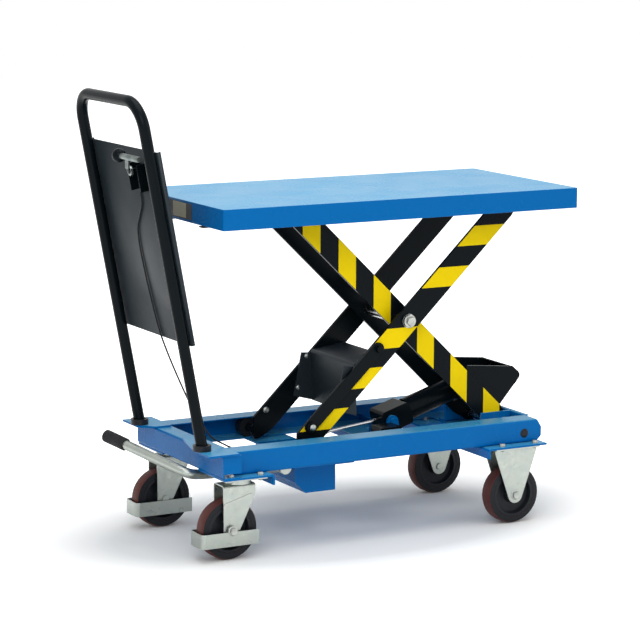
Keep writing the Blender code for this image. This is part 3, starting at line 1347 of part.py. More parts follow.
def fork(name, frame, x, y, outline, crown_z):
    """A fork: a U of folded sheet trimmed to its side outline, with its axle bolt."""
    middle = FORK_GAP / 2 + FORK_SHEET / 2
    top = crown_z - FORK_SHEET / 2
    path = rounded_path(
        [(y - middle, 0.0), (y - middle, top), (y + middle, top), (y + middle, 0.0)], FRAME_FOLD_R)
    reach = 0.400
    piece = sheet_piece(name, path, reach, FORK_SHEET, "zinc", frame, (x, 0.0, 0.0), END_VIEW)
    trim = add_tool(plate_mesh([outline], FORK_GAP * 2), (x, y, 0.0), SIDE_VIEW)
    combine(piece, trim, "INTERSECT")
    return piece


def add_axle(piece, x, y):
    """Join the headed axle bolt to its fork."""
    face = FORK_GAP / 2 + FORK_SHEET
    steps = [
        (AXLE_HEAD_R, face + AXLE_HEAD_T, face - WELD),
        (AXLE_R, face - WELD, -face + WELD),
        (AXLE_HEAD_R, -face + WELD, -face - AXLE_HEAD_T),
    ]
    combine(piece, turned_tool(stepped_profile(steps), (x, y, WHEEL_R), facets=COARSE), "UNION")


def wheel(word, x, y):
    """Hub and tyre of one wheel, on a frame at its axle."""
    frame = joint_frame("wheel_frame_" + word, (x, y, WHEEL_R))
    rim_r = WHEEL_R - TYRE_DEPTH
    half = TYRE_WIDTH / 2
    tyre = [
        (WHEEL_R, half - 2.0 * TYRE_SHOULDER), (WHEEL_R, -half + 2.0 * TYRE_SHOULDER),
        (WHEEL_R - TYRE_SHOULDER, -half), (rim_r, -half), (rim_r, half), (WHEEL_R - TYRE_SHOULDER, half)]
    turned_piece("tyre_" + word, tyre, "tread", frame, (x, y, WHEEL_R), closed=True, facets=FINE)
    rim = rim_r - GAP
    edge = half - GAP
    boss = HUB_BOSS_WIDTH / 2
    web = HUB_WEB / 2
    bore = AXLE_R + GAP
    upper = [(HUB_BOSS_R, boss), (HUB_BOSS_R + HUB_RIM / 2, web), (rim - HUB_RIM * 1.5, web), (rim - HUB_RIM, edge)]
    lower = [(radius, -height) for radius, height in upper[::-1]]
    hub = [(rim, edge), (rim, -edge), *lower, (bore, -boss), (bore, boss), *upper]
    turned_piece("hub_" + word, hub, "black_plastic", frame, (x, y, WHEEL_R), closed=True, facets=MEDIUM)


def fixed_castors():
    """Two fixed castors at the far end of the chassis."""
    top = CASTOR_HEIGHT
    wide = FIXED_TOP_HALF_WIDTH
    for side, word in ((-1, "near"), (1, "far")):
        y = side * FIXED_Y
        outline = fork_outline(-wide, wide, top - 0.016, top, 0.0)
        piece = fork("fixed_fork_" + word, BASE, FIXED_X, y, outline, top - FORK_PLATE_T + WELD)
        middle = FIXED_X + FIXED_PLATE_SHIFT
        half = FIXED_PLATE_LENGTH / 2
        wide_y = CASTOR_PLATE_WIDTH / 2
        plate = add_tool(box_mesh(
            (middle - half, y - wide_y, top - FORK_PLATE_T), (middle + half, y + wide_y, top)))
        combine(piece, plate, "UNION")
        add_axle(piece, FIXED_X, y)
        wheel("fixed_" + word, FIXED_X, y)


def swivel_castors():
    """Two swivel castors at the bow's end: mounting plate with ball race, fork, wheel guard and wheel."""
    top = CASTOR_HEIGHT
    half = SWIVEL_PLATE_LENGTH / 2
    wide_y = CASTOR_PLATE_WIDTH / 2
    race_low = top - FORK_PLATE_T - RACE_HEIGHT
    axle_x = SWIVEL_X - SWIVEL_TRAIL
    for side, word in ((-1, "near"), (1, "far")):
        y = side * SWIVEL_Y
        plate = add_piece("swivel_plate_" + word, box_mesh(
            (SWIVEL_X - half, y - wide_y, top - FORK_PLATE_T), (SWIVEL_X + half, y + wide_y, top)), "zinc", BASE)
        low = race_low - FORK_SHEET - GAP * 2
        steps = [
            (RACE_R, top - FORK_PLATE_T + WELD, race_low),
            (KINGPIN_R, race_low, low),
            (KINGPIN_R * 1.6, low, low - KINGPIN_LENGTH / 2),
        ]
        combine(plate, turned_tool(stepped_profile(steps), (SWIVEL_X, y, 0.0), UPRIGHT), "UNION")
        frame = joint_frame("swivel_frame_" + word, (SWIVEL_X, y, race_low))
        outline = fork_outline(
            -SWIVEL_TRAIL - FORK_TIP_R - WELD, SWIVEL_FORK_FRONT, SWIVEL_FORK_SHOULDER, top, -SWIVEL_TRAIL)
        piece = fork("swivel_fork_" + word, frame, SWIVEL_X, y, outline, race_low - GAP)
        hole = add_tool(rod_mesh(KINGPIN_R + GAP, low, top, COARSE), (SWIVEL_X, y, 0.0))
        combine(piece, hole, "DIFFERENCE")
        add_axle(piece, axle_x, y)
        wheel_guard(word, frame, axle_x, y)
        wheel("swivel_" + word, axle_x, y)


def wheel_guard(word, frame, x, y):
    """Strip bent round the wheel at ankle height, open towards the platform, welded on distance blocks."""
    half = GUARD_WIDTH / 2 - GUARD_SHEET / 2
    out = -GUARD_REACH_OUT + GUARD_SHEET / 2
    path = rounded_path(
        [(GUARD_REACH_IN, -half), (out, -half), (out, half), (GUARD_REACH_IN, half)], GUARD_CORNER_R)
    middle = GUARD_LOW_Z + GUARD_HEIGHT / 2
    guard = sheet_piece(
        "wheel_guard_" + word, path, GUARD_HEIGHT, GUARD_SHEET, "zinc", frame, (x, y, middle), UPRIGHT)
    inner = FORK_GAP / 2 + FORK_SHEET + GAP
    for side in (-1, 1):
        ends = sorted((y + side * inner, y + side * half))
        block = add_tool(box_mesh(
            (x - 0.008, ends[0], GUARD_LOW_Z + 0.018), (x + 0.008, ends[1], GUARD_LOW_Z + 0.027)))
        combine(guard, block, "UNION")


def main():
    """Build every piece of the lift table."""
    side_rails()
    front_member()
    rear_member()
    pivot_crossmember()
    inner_arms()
    lift_bracket()
    outer_arms()
    cross_plate()
    service_prop()
    rollers()
    platform_tray()
    roller_guides()
    platform_pivot()
    cylinder_carrier()
    cylinder()
    valve_block()
    pump_saddle()
    pump()
    pedal()
    push_bow()
    bow_panel()
    release_lever()
    release_cable()
    fixed_castors()
    swivel_castors()


main()
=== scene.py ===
import math

import bpy
import numpy as np
from bpy.props import FloatProperty, FloatVectorProperty, PointerProperty
from mathutils import Matrix, Vector


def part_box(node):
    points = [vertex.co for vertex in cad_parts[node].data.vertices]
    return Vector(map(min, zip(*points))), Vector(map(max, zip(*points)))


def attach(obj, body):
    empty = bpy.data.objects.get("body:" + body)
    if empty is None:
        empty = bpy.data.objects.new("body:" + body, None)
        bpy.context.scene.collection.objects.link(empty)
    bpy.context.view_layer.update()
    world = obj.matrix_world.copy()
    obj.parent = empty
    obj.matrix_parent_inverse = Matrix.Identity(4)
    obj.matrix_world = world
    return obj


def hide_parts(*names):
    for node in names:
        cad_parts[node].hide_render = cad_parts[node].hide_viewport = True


bl_info = {
    "name": "Mobile Lift Table Finish",
    "version": (1, 0, 0),
    "blender": (4, 5, 0),
    "location": "3D View > Sidebar > Lift Table",
    "description": "Finishes, tape bands, fasteners and studio for the packed lift table",
    "category": "Object",
}

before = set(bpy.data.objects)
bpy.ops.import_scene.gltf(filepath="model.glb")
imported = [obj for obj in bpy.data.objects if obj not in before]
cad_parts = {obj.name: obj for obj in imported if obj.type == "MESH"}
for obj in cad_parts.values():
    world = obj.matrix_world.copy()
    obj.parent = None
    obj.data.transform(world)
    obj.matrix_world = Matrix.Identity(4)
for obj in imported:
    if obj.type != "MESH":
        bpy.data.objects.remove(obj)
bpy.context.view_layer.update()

# Nodes of each finish
BLUE_NODES = (
    "side_rail_near", "side_rail_far", "front_member", "rear_member", "pivot_crossmember",
    "cylinder_carrier", "pump_saddle", "platform_tray")
BLACK_NODES = (
    "inner_arm_near", "inner_arm_far", "outer_arm_near", "outer_arm_far", "lift_bracket", "service_prop",
    "roller_guide_near", "roller_guide_far", "platform_lug_near", "platform_lug_far", "cylinder",
    "valve_block", "pump_block", "push_bow", "lever_bracket", "release_lever")
GREY_NODES = ("cross_plate", "bow_panel")
ZINC_NODES = (
    "valve_lever", "pedal_shaft", "pedal_tube", "swivel_plate_near", "swivel_plate_far", "swivel_fork_near",
    "swivel_fork_far", "wheel_guard_near", "wheel_guard_far", "fixed_fork_near", "fixed_fork_far")
STEEL_NODES = (
    "base_pivot_shaft", "centre_shaft", "platform_pivot_shaft", "piston_rod", "pump_plunger", "pressure_pipe")
PLASTIC_NODES = (
    "base_roller_near", "base_roller_far", "top_roller_near", "top_roller_far", "bow_collar_near",
    "bow_collar_far", "release_cable", "hub_swivel_near", "hub_swivel_far", "hub_fixed_near", "hub_fixed_far")
RUBBER_NODES = ("pedal_sleeve",)
TREAD_NODES = ("tyre_swivel_near", "tyre_swivel_far", "tyre_fixed_near", "tyre_fixed_far")

# The photograph's viewpoint: how far the camera stands off, and where it looks
VIEW_AZIMUTH = math.radians(-28.61)
VIEW_ELEVATION = math.radians(9.54)
VIEW_ROLL = math.radians(0.23)
VIEW_DISTANCE = 6.7888
VIEW_LENS = 151.37
VIEW_CENTRE = Vector((-0.00635, 0.0, 0.450))
VIEW_SLIDE = (0.00043, -0.07991)

# Arms: their axes in side view, and the faces that carry the tape
LOWER_PIVOT = (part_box("base_pivot_shaft")[0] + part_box("base_pivot_shaft")[1]) / 2
UPPER_PIVOT = (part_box("platform_pivot_shaft")[0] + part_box("platform_pivot_shaft")[1]) / 2
CENTRE_SHAFT = (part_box("centre_shaft")[0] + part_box("centre_shaft")[1]) / 2
ARM_HALF_DEPTH = 0.0302
INNER_FACE = -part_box("lift_bracket")[0].y + 0.0083
OUTER_FACE = -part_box("cross_plate")[0].y + 0.0083

# Inner arms: X and Z of their edge where it narrows towards the base pivot, and towards the top roller
TOP_ROLLER_X = 2.0 * CENTRE_SHAFT.x - LOWER_PIVOT.x
LOWER_EDGE = (
    [LOWER_PIVOT.x - 0.0459, LOWER_PIVOT.x - 0.0110, LOWER_PIVOT.x],
    [LOWER_PIVOT.z + 0.0013, LOWER_PIVOT.z - 0.0190, LOWER_PIVOT.z - 0.0218])
UPPER_EDGE = (
    [TOP_ROLLER_X, TOP_ROLLER_X + 0.0047, TOP_ROLLER_X + 0.0396],
    [UPPER_PIVOT.z + 0.0218, UPPER_PIVOT.z + 0.0190, UPPER_PIVOT.z - 0.0013])


# Tape bands come in runs: where a run starts from the arm's end, its pitch as a share of the usual one, its count
INNER_RUNS = ((0.026, 1.011, 3), (0.356, 1.0, 3))
OUTER_RUNS = ((0.116, 1.0, 2), (0.361, 0.95, 3))
TAPE_GAP = 0.0001
TAPE_THICKNESS = 0.0003

# Push bow: its lean, the foot of its plane, half its width, its tube, and the tube's ends up the plane
BOW_LEAN = math.radians(10.72)
BOW_FOOT_X = -0.42405
BOW_FOOT_Z = 0.270
BOW_HALF_WIDTH = 0.1784
BOW_RADIUS = 0.014
BOW_LOW_END = 0.0048
BOW_TOP = 0.858

# Panel of the bow: half its width, how far back its face lies, its lower edge, middle and upper edge up the plane
PANEL_HALF_WIDTH = 0.191
PANEL_FACE = 0.0153
PANEL_RISE = (0.262, 0.5, 0.737)
PANEL_FOLD = 0.003
PANEL_THICKNESS = 0.002

# Release lever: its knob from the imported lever's box, its pivot on the bow, and profiles of radii and levels
KNOB_INSET = (0.016, 0.009)
KNOB_Y = -0.042
KNOB_RADIUS = 0.017
ROD_PROFILE = ((0.0, 0.0072, 0.0072, 0.0062, 0.0), (0.012, 0.012, 0.112, 0.114, 0.114))
LEVER_PIVOT = (-0.085, 0.690, -0.0125)
PIVOT_PROFILE = ((0.0, 0.0125, 0.0125, 0.0), (0.0, 0.0, 0.005, 0.005))
LINK_CORNERS = ((0.002, -0.035, -0.028), (0.002, -0.053, 0.004))
LINK_THICKNESS = 0.004
LEVER_PLATING = (0.13, 0.16, 0.15)

# Fasteners: radius and height of round heads, width over flats and height of nuts
CASTOR_HEAD = (0.0070, 0.0045)
CROSS_PLATE_HEAD = (0.0070, 0.0050)
PROP_HEAD = (0.0085, 0.0045)
PLUG_HEAD = (0.0118, 0.0025)
SHAFT_WASHER = (0.0165, 0.0020)
AXLE_WASHER = (0.0125, 0.0020)
AXLE_NUT = (0.017, 0.0075)
SHAFT_NUT = (0.022, 0.008)
HEAD_SINK = 0.004

# Places of the fasteners; a Y counts outwards from the middle
CASTOR_NUT_Z = 0.2093
CASTOR_ROWS = (0.230, 0.146)
CASTOR_PLATE_LENGTH = 0.130
CASTOR_HOLE_INSETS = (0.0165, 0.0155)
CROSS_PLATE_HEADS = ((0.0144, 0.4205), (-0.0104, 0.3402))
SHAFT_WASHER_Y = 0.1322
SHAFT_NUT_Y = 0.1330
AXLE_Y = (("swivel", 0.2222), ("fixed", 0.2150))
PLUG_X, PLUG_Y, PLUG_DROP = 0.47065, 0.2152, 0.033
PROP_BOLT_X, PROP_BOLT_Z = -0.10035, 0.289
FAR_PROP_BOLT_Y = 0.1141
OUTWARD_NEAR = (0, -1, 0)

# Sheet details: end plates of the front member, creases of the swivel forks, lip of the lift bracket
END_Y, END_START, END_Z, END_THICKNESS = 0.2424, 0.0400, 0.2215, 0.003
END_LAP, END_DROP = 0.004, 0.001
CREASE_Y, CREASE_HEIGHT, CREASE_THICKNESS = 0.2146, 0.0050, 0.0016
CREASE_LINE = ((-0.3840, 0.1370), (-0.3100, 0.1575))
LIP_CORNERS = ((0.5310, 0.3340), (0.5475, 0.3545), (0.5200, 0.3795))
LIP_HALF_WIDTH, LIP_BEND, LIP_THICKNESS = 0.072, 0.012, 0.003

# Bare plates on the platform's end: material, colour, how far proud, low and high corner in Y and Z, thickness
BARE_PLATES = (
    ("end_plate", "grey_plate", (0.055, 0.060, 0.060), 0.0004, (-0.079, 0.8165), (0.066, 0.8550), 0.0006),
    ("end_plate_field", "pale_plate", (0.42, 0.40, 0.30), 0.0010, (-0.049, 0.8185), (0.023, 0.8540), 0.0005))

# Finishing of meshes
MERGE_DISTANCE = 0.00001
EDGE_ANGLE = math.radians(36.0)
CORNER_ANGLE = math.radians(32.0)
FOLD_RADIUS = 0.0042
FOLD_REACH = 0.0002
# Painted light: the paler colour laid over the blue paint's upward faces, standing in for the stronger light from
# above
TOP_PAINTED_LIGHT = (0.20, 0.86, 1.00)

# Studio: half the floor's side, the lamps' names, places, sizes and powers, and where they aim
FLOOR_HALF = 14.0
LAMPS = (
    ("overhead", (-0.3, -0.5, 4.6), 3.6, 128.0),
    ("left", (-2.6, -3.6, 3.0), 2.6, 72.0),
    ("right", (3.4, -3.6, 2.4), 3.0, 36.0))
LAMP_AIM = Vector((0.0, 0.0, 0.5))
WHITE = (1.0, 1.0, 1.0, 1.0)
WORLD_COLOUR = (0.96, 1.0, 1.0, 1.0)
WORLD_STRENGTH = 0.42


class LiftTablePaint(bpy.types.PropertyGroup):
    """Colours of the painted, plated and moulded pieces."""

    blue: FloatVectorProperty(
        name="Blue", description="Paint of the platform and the chassis", subtype="COLOR",
        default=(0.0003, 0.138, 0.430))
    black: FloatVectorProperty(
        name="Black", description="Paint of the arms and the push bow", subtype="COLOR",
        default=(0.0032, 0.0060, 0.0080))
    grey: FloatVectorProperty(
        name="Grey", description="Paint of the panel and the cross plate", subtype="COLOR",
        default=(0.018, 0.026, 0.032))
    yellow: FloatVectorProperty(
        name="Yellow", description="Tape on the arms", subtype="COLOR", default=(1.000, 0.720, 0.001))
    zinc: FloatVectorProperty(
        name="Zinc", description="Plating of the castors and the pedal", subtype="COLOR",
        default=(0.380, 0.410, 0.370))
    tread: FloatVectorProperty(
        name="Tread", description="Elastic tread of the wheels", subtype="COLOR",
        default=(0.092, 0.024, 0.020))


class LiftTableSizes(bpy.types.PropertyGroup):
    """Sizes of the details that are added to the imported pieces."""

    edge_width: FloatProperty(
        name="Edge", description="Width of the softened edges of sheet", unit="LENGTH", default=0.0007)
    band_width: FloatProperty(
        name="Tape width", description="Width of a tape band along its cut", unit="LENGTH", default=0.0495)
    band_pitch: FloatProperty(
        name="Tape pitch", description="Distance between the bands of one arm", unit="LENGTH", default=0.1000)
    nut_flats: FloatProperty(
        name="Nut", description="Width of a nut over its flats", unit="LENGTH", default=0.0130)
    nut_height: FloatProperty(
        name="Nut height", description="Height of a nut", unit="LENGTH", default=0.0075)
    bow_bend: FloatProperty(
        name="Bow bend", description="Bend radius of the push bow", unit="LENGTH", default=0.066)
    panel_flange: FloatProperty(
        name="Panel flange", description="Depth of the panel's folded edges", unit="LENGTH", default=0.009)


class Shader:
    """A node graph under one Principled shader, whose patterns read object coordinates in metres."""

    def __init__(self, name, colour, roughness, metallic=0.0):
        self.material = bpy.data.materials.new(name)
        self.material.use_nodes = True
        self.tree = self.material.node_tree
        self.shader = self.tree.nodes["Principled BSDF"]
        self.shader.inputs["Base Color"].default_value = (*colour, 1.0)
        self.shader.inputs["Roughness"].default_value = roughness
        self.shader.inputs["Metallic"].default_value = metallic
        self.place = self.tree.nodes.new("ShaderNodeTexCoord").outputs["Object"]

    def link(self, source, target):
        """Join an output to an input."""
        self.tree.links.new(source, target)

    def stretched(self, scale):
        """Object coordinates scaled by three factors."""
        mapping = self.tree.nodes.new("ShaderNodeMapping")
        mapping.inputs["Scale"].default_value = scale
        self.link(self.place, mapping.inputs["Vector"])
        return mapping.outputs["Vector"]

    def noise(self, scale, detail=3.0, stretch=None):
        """Grey noise of a given scale."""
        made = self.tree.nodes.new("ShaderNodeTexNoise")
        made.inputs["Scale"].default_value = scale
        made.inputs["Detail"].default_value = detail
        self.link(self.stretched(stretch) if stretch else self.place, made.inputs["Vector"])
        return made.outputs["Fac"]

    def ramp(self, value, low, high, start=0.0, end=1.0):
        """A value mapped from one range to another and clamped."""
        made = self.tree.nodes.new("ShaderNodeMapRange")
        self.link(value, made.inputs["Value"])
        for name, number in (("From Min", low), ("From Max", high), ("To Min", start), ("To Max", end)):
            made.inputs[name].default_value = number
        return made.outputs["Result"]

    def product(self, first, second):
        """The product of two values."""
        made = self.tree.nodes.new("ShaderNodeMath")
        made.operation = "MULTIPLY"
        self.link(first, made.inputs[0])
        self.link(second, made.inputs[1])
        return made.outputs["Value"]

    def facing_up(self):
        """One on faces that look up, and nought on the others."""
        split = self.tree.nodes.new("ShaderNodeSeparateXYZ")
        geometry = self.tree.nodes.new("ShaderNodeNewGeometry")
        self.link(geometry.outputs["Normal"], split.inputs["Vector"])
        return self.ramp(split.outputs["Z"], 0.7, 0.98)

    def facing_aside(self):
        """One on faces that look along the object's own Y, either way, and nought on the others."""
        split = self.tree.nodes.new("ShaderNodeSeparateXYZ")
        self.link(self.place.node.outputs["Normal"], split.inputs["Vector"])
        either = self.tree.nodes.new("ShaderNodeMath")
        either.operation = "ABSOLUTE"
        self.link(split.outputs["Y"], either.inputs[0])
        return self.ramp(either.outputs["Value"], 0.55, 0.85)

    def tint(self, mask, colour):
        """Lay a colour over the base colour where the mask is one."""
        mix = self.tree.nodes.new("ShaderNodeMix")
        mix.data_type = "RGBA"
        target = self.shader.inputs["Base Color"]
        self.link(mask, mix.inputs["Factor"])
        if target.links:
            self.link(target.links[0].from_socket, mix.inputs[6])
        else:
            mix.inputs[6].default_value = target.default_value
        mix.inputs[7].default_value = (*colour, 1.0)
        self.link(mix.outputs[2], target)

    def shine(self, value):
        """Drive the roughness."""
        self.link(value, self.shader.inputs["Roughness"])

    def relief(self, height, distance, strength=1.0):
        """Bump from a height."""
        bump = self.tree.nodes.new("ShaderNodeBump")
        bump.inputs["Strength"].default_value = strength
        bump.inputs["Distance"].default_value = distance
        self.link(height, bump.inputs["Height"])
        self.link(bump.outputs["Normal"], self.shader.inputs["Normal"])


def directly_seen(tree):
    """One for rays of the camera, of gloss and of glass, nought for others: the largest of three values."""
    path = tree.nodes.new("ShaderNodeLightPath")
    seen = path.outputs["Is Camera Ray"]
    for output in ("Is Glossy Ray", "Is Transmission Ray"):
        either = tree.nodes.new("ShaderNodeMath")
        either.operation = "MAXIMUM"
        tree.links.new(seen, either.inputs[0])
        tree.links.new(path.outputs[output], either.inputs[1])
        seen = either.outputs["Value"]
    return seen


def sheet_paint(name, colour, roughness, dust, gloss, top=None):
    """Powder paint: a fine orange peel, uneven gloss, dust and painted light on top faces, a paler colour that stands
    in for light from above, and thin rubbed marks.
    """
    paint = Shader(name, colour, roughness)
    peel = paint.noise(420.0, 2.0)
    paint.relief(peel, 0.00020, 0.22)
    paint.shine(paint.ramp(paint.noise(9.0, 4.0), 0.3, 0.7, roughness * 0.85, roughness * 1.2))
    settled = paint.product(paint.facing_up(), paint.ramp(paint.noise(26.0, 6.0), 0.35, 0.75, 0.0, dust))
    paint.tint(settled, (0.50, 0.53, 0.54))
    # Painted light: when a colour is given, faces that look up are mixed a share of 0.22 to 0.28 towards it, as if
    # lit more from above
    if top:
        top_light_share = paint.ramp(paint.noise(4.0, 2.0), 0.2, 0.8, 0.22, 0.28)
        paint.tint(paint.product(paint.facing_up(), top_light_share), top)
    rubbed = paint.ramp(paint.noise(60.0, 5.0, (1.0, 6.0, 1.0)), 0.69, 0.76, 0.0, 0.07)
    paint.tint(rubbed, tuple(min(1.0, channel * 1.5 + 0.01) for channel in colour))
    paint.shader.inputs["Specular IOR Level"].default_value = gloss
    return paint.material


def zinc_plate(name, colour):
    """Bright zinc plate: cloudy tint, a faint drawing grain and grey spots."""
    plate = Shader(name, colour, 0.34, 0.88)
    plate.tint(plate.ramp(plate.noise(34.0, 4.0), 0.38, 0.66, 0.0, 0.55), (0.33, 0.36, 0.36))
    plate.tint(plate.ramp(plate.noise(110.0, 3.0), 0.62, 0.72, 0.0, 0.30), (0.26, 0.27, 0.24))
    plate.shine(plate.ramp(plate.noise(75.0, 3.0), 0.3, 0.7, 0.26, 0.44))
    plate.relief(plate.noise(240.0, 2.0, (1.0, 1.0, 0.2)), 0.00012, 0.4)
    return plate.material


def bright_steel(name):
    """Ground steel with fine rings of grinding and a thin film of oil."""
    steel = Shader(name, (0.42, 0.43, 0.44), 0.26, 1.0)
    steel.shine(steel.ramp(steel.noise(320.0, 2.0, (1.0, 0.15, 1.0)), 0.3, 0.7, 0.14, 0.32))
    steel.tint(steel.ramp(steel.noise(22.0, 3.0), 0.55, 0.75, 0.0, 0.4), (0.36, 0.34, 0.30))
    return steel.material


def moulding(name, colour, roughness):
    """Moulded plastic or rubber with a fine spark-eroded grain and pale scuffs."""
    grain = Shader(name, colour, roughness)
    grain.relief(grain.noise(900.0, 2.0), 0.00015, 0.5)
    grain.shine(grain.ramp(grain.noise(40.0, 4.0), 0.3, 0.7, roughness * 0.8, roughness * 1.15))
    grain.tint(grain.ramp(grain.noise(70.0, 5.0), 0.66, 0.78, 0.0, 0.1), (0.12, 0.12, 0.12))
    grain.shader.inputs["Specular IOR Level"].default_value = 0.2
    return grain.material


def tread_elastic(name, colour):
    """Elastic tread, mottled by the floor's dust, darker where it has rolled and black on its sides."""
    tread = Shader(name, colour, 0.5)
    tread.tint(tread.ramp(tread.noise(45.0, 5.0), 0.45, 0.75, 0.0, 0.35), (0.13, 0.06, 0.05))
    tread.tint(tread.ramp(tread.noise(12.0, 3.0), 0.55, 0.8, 0.0, 0.3), (0.05, 0.018, 0.016))
    tread.tint(tread.facing_aside(), (0.009, 0.010, 0.013))
    tread.shader.inputs["Specular IOR Level"].default_value = 0.2
    tread.relief(tread.noise(500.0, 2.0), 0.0002, 0.5)
    return tread.material


def tape(name, colour):
    """Yellow tape with slight soiling and a satin face."""
    band = Shader(name, colour, 0.42)
    band.tint(band.ramp(band.noise(28.0, 5.0), 0.5, 0.8, 0.0, 0.14), (0.62, 0.40, 0.02))
    band.shader.inputs["Specular IOR Level"].default_value = 0.08
    band.relief(band.noise(700.0, 2.0), 0.0001, 0.3)
    return band.material


def soften(node, material, width):
    """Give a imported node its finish: merged corners, softened edges and smooth shading."""
    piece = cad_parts[node]
    piece.data.materials.clear()
    piece.data.materials.append(material)
    smooth(piece)
    weld = piece.modifiers.new("merge", "WELD")
    weld.merge_threshold = MERGE_DISTANCE
    if width > 0.0:
        edge = piece.modifiers.new("edge", "BEVEL")
        edge.width = width
        edge.segments = 2
        edge.limit_method = "ANGLE"
        edge.angle_limit = EDGE_ANGLE
        edge.use_clamp_overlap = True
        edge.harden_normals = False
    even = piece.modifiers.new("even", "WEIGHTED_NORMAL")
    even.keep_sharp = True
    even.weight = 80
    return piece


def grid_object(name, points, material, body, closed=False):
    """A surface of quads from a grid of points with shape (rows, columns, 3); its columns make a ring if closed."""
    rows, columns = points.shape[:2]
    index = np.arange(rows * columns).reshape(rows, columns)
    if closed:
        index = np.hstack([index, index[:, :1]])
    quads = np.stack([index[:-1, :-1], index[:-1, 1:], index[1:, 1:], index[1:, :-1]], -1).reshape(-1, 4)
    mesh = bpy.data.meshes.new(name)
    mesh.from_pydata(points.reshape(-1, 3).tolist(), [], quads.tolist())
    mesh.update()
    mesh.materials.append(material)
    piece = bpy.data.objects.new(name, mesh)
    bpy.context.scene.collection.objects.link(piece)
    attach(piece, body)
    return piece


def smooth(piece):
    """Shade a piece smooth."""
    piece.data.polygons.foreach_set("use_smooth", np.ones(len(piece.data.polygons), bool))


def round_piece(name, points, material, body):
    """A piece whose columns run once round: poles and seam closed, and smooth up to its sharp corners."""
    piece = grid_object(name, points, material, body, closed=True)
    weld = piece.modifiers.new("merge", "WELD")
    weld.merge_threshold = MERGE_DISTANCE
    split = piece.modifiers.new("corners", "EDGE_SPLIT")
    split.split_angle = CORNER_ANGLE
    smooth(piece)
    return piece


def solid_sheet(piece, thickness):
    """Give a surface a wall to both sides."""
    wall = piece.modifiers.new("wall", "SOLIDIFY")
    wall.thickness = thickness
    wall.offset = 0.0
    return piece


def directions_about(axis):
    """Three unit directions: two across an axis, and the axis itself."""
    axis = Vector(axis).normalized()
    side = axis.orthogonal().normalized()
    return np.array(side), np.array(axis.cross(side)), np.array(axis)


def turned_points(origin, axis, radii, levels, facets=28):
    """Surface of revolution: point = origin + level * axis + radius * (cos a * side + sin a * other)."""
    angle = np.linspace(0.0, 2.0 * math.pi, facets, endpoint=False)
    side, other, along = directions_about(axis)
    round_about = np.cos(angle)[:, None] * side + np.sin(angle)[:, None] * other
    return np.array(origin) + np.array(levels)[:, None, None] * along + np.array(radii)[:, None, None] * round_about


def dome_points(centre, axis, radius, height):
    """Surface of a round head: r(t) = R cos t and z(t) = H sin t over a quarter turn, on a flat base."""
    share = np.linspace(0.0, math.pi / 2.0, 7)
    radii = np.concatenate([[0.0], radius * np.cos(share)])
    levels = np.concatenate([[0.0], height * np.sin(share)])
    return turned_points(centre, axis, radii, levels, 24)


def hex_points(centre, axis, flats, height, facets=24):
    """Surface of a nut: radius(angle) is a hexagon's, times a profile that runs up the side and over a chamfer.

    Rows follow the profile (base, side, chamfer, top) and columns follow the angle.
    """
    angle = np.linspace(0.0, 2.0 * math.pi, facets, endpoint=False)
    sector = np.mod(angle + math.pi / 6.0, math.pi / 3.0) - math.pi / 6.0
    hexagon = flats / 2.0 / np.cos(sector)
    inner = flats * 0.45
    radius = np.stack([
        hexagon * 0.0, hexagon, hexagon, np.minimum(hexagon, flats * 0.5), np.full(facets, inner),
        np.full(facets, inner * 0.5), hexagon * 0.0])
    level = np.array([0.0, 0.0, 0.86, 1.0, 1.0, 0.9, 0.9])[:, None, None] * height
    side, other, along = directions_about(axis)
    return (
        np.array(centre) + (radius * np.cos(angle))[..., None] * side
        + (radius * np.sin(angle))[..., None] * other + level * along)


def rounded_line(corners, radius, steps=10):
    """A line through flat points, with an arc of the given radius for each inner corner.

    The arc starts radius * tan(turn / 2) before the corner, and its points are centre + radius * (cos a, sin a).
    """
    corners = np.array(corners, float)
    rows = [corners[:1]]
    for before, corner, after in zip(corners[:-2], corners[1:-1], corners[2:]):
        into = (corner - before) / np.linalg.norm(corner - before)
        out = (after - corner) / np.linalg.norm(after - corner)
        turn = math.acos(float(np.clip(into @ out, -1.0, 1.0)))
        hand = 1.0 if into[0] * out[1] - into[1] * out[0] > 0.0 else -1.0
        normal = np.array([-into[1], into[0]]) * hand
        centre = corner - into * radius * math.tan(turn / 2.0) + normal * radius
        angle = np.linspace(0.0, turn, steps)[:, None]
        rows.append(centre - normal * radius * np.cos(angle) + into * radius * np.sin(angle))
    return np.vstack(rows + [corners[-1:]])


def on_bow(across, rise, back):
    """Places in the leaning plane of the push bow: across it, up along it, and back from it."""
    x = BOW_FOOT_X - rise * math.sin(BOW_LEAN) + back * math.cos(BOW_LEAN)
    z = BOW_FOOT_Z + rise * math.cos(BOW_LEAN) + back * math.sin(BOW_LEAN)
    return np.stack(np.broadcast_arrays(x, across, z), -1)


def bow_tube_points(line, radius, facets=28):
    """A round tube along a line in the bow's plane, closed at its ends.

    Point = line(t) + r (cos a * normal(t) + sin a * back), where normal is the line's direction turned by a
    quarter in the plane, and r is the radius, and nought at both ends.
    """
    line = np.vstack([line[:1], line, line[-1:]])
    thick = np.full(len(line), radius)
    thick[[0, -1]] = 0.0
    step = np.gradient(line[1:-1], axis=0)
    step = np.vstack([step[:1], step, step[-1:]])
    step /= np.linalg.norm(step, axis=1)[:, None]
    angle = np.linspace(0.0, 2.0 * math.pi, facets, endpoint=False)
    aside = thick[:, None] * np.cos(angle)
    return on_bow(
        line[:, :1] - step[:, 1:] * aside, line[:, 1:] + step[:, :1] * aside, thick[:, None] * np.sin(angle))


def strip_points(ends, y, height):
    """An upright strip at one Y: two ends in side view, and the same ends raised by the height."""
    row = np.array([[(x, y, z) for x, z in ends]])
    return np.concatenate([row, row + (0.0, 0.0, height)])


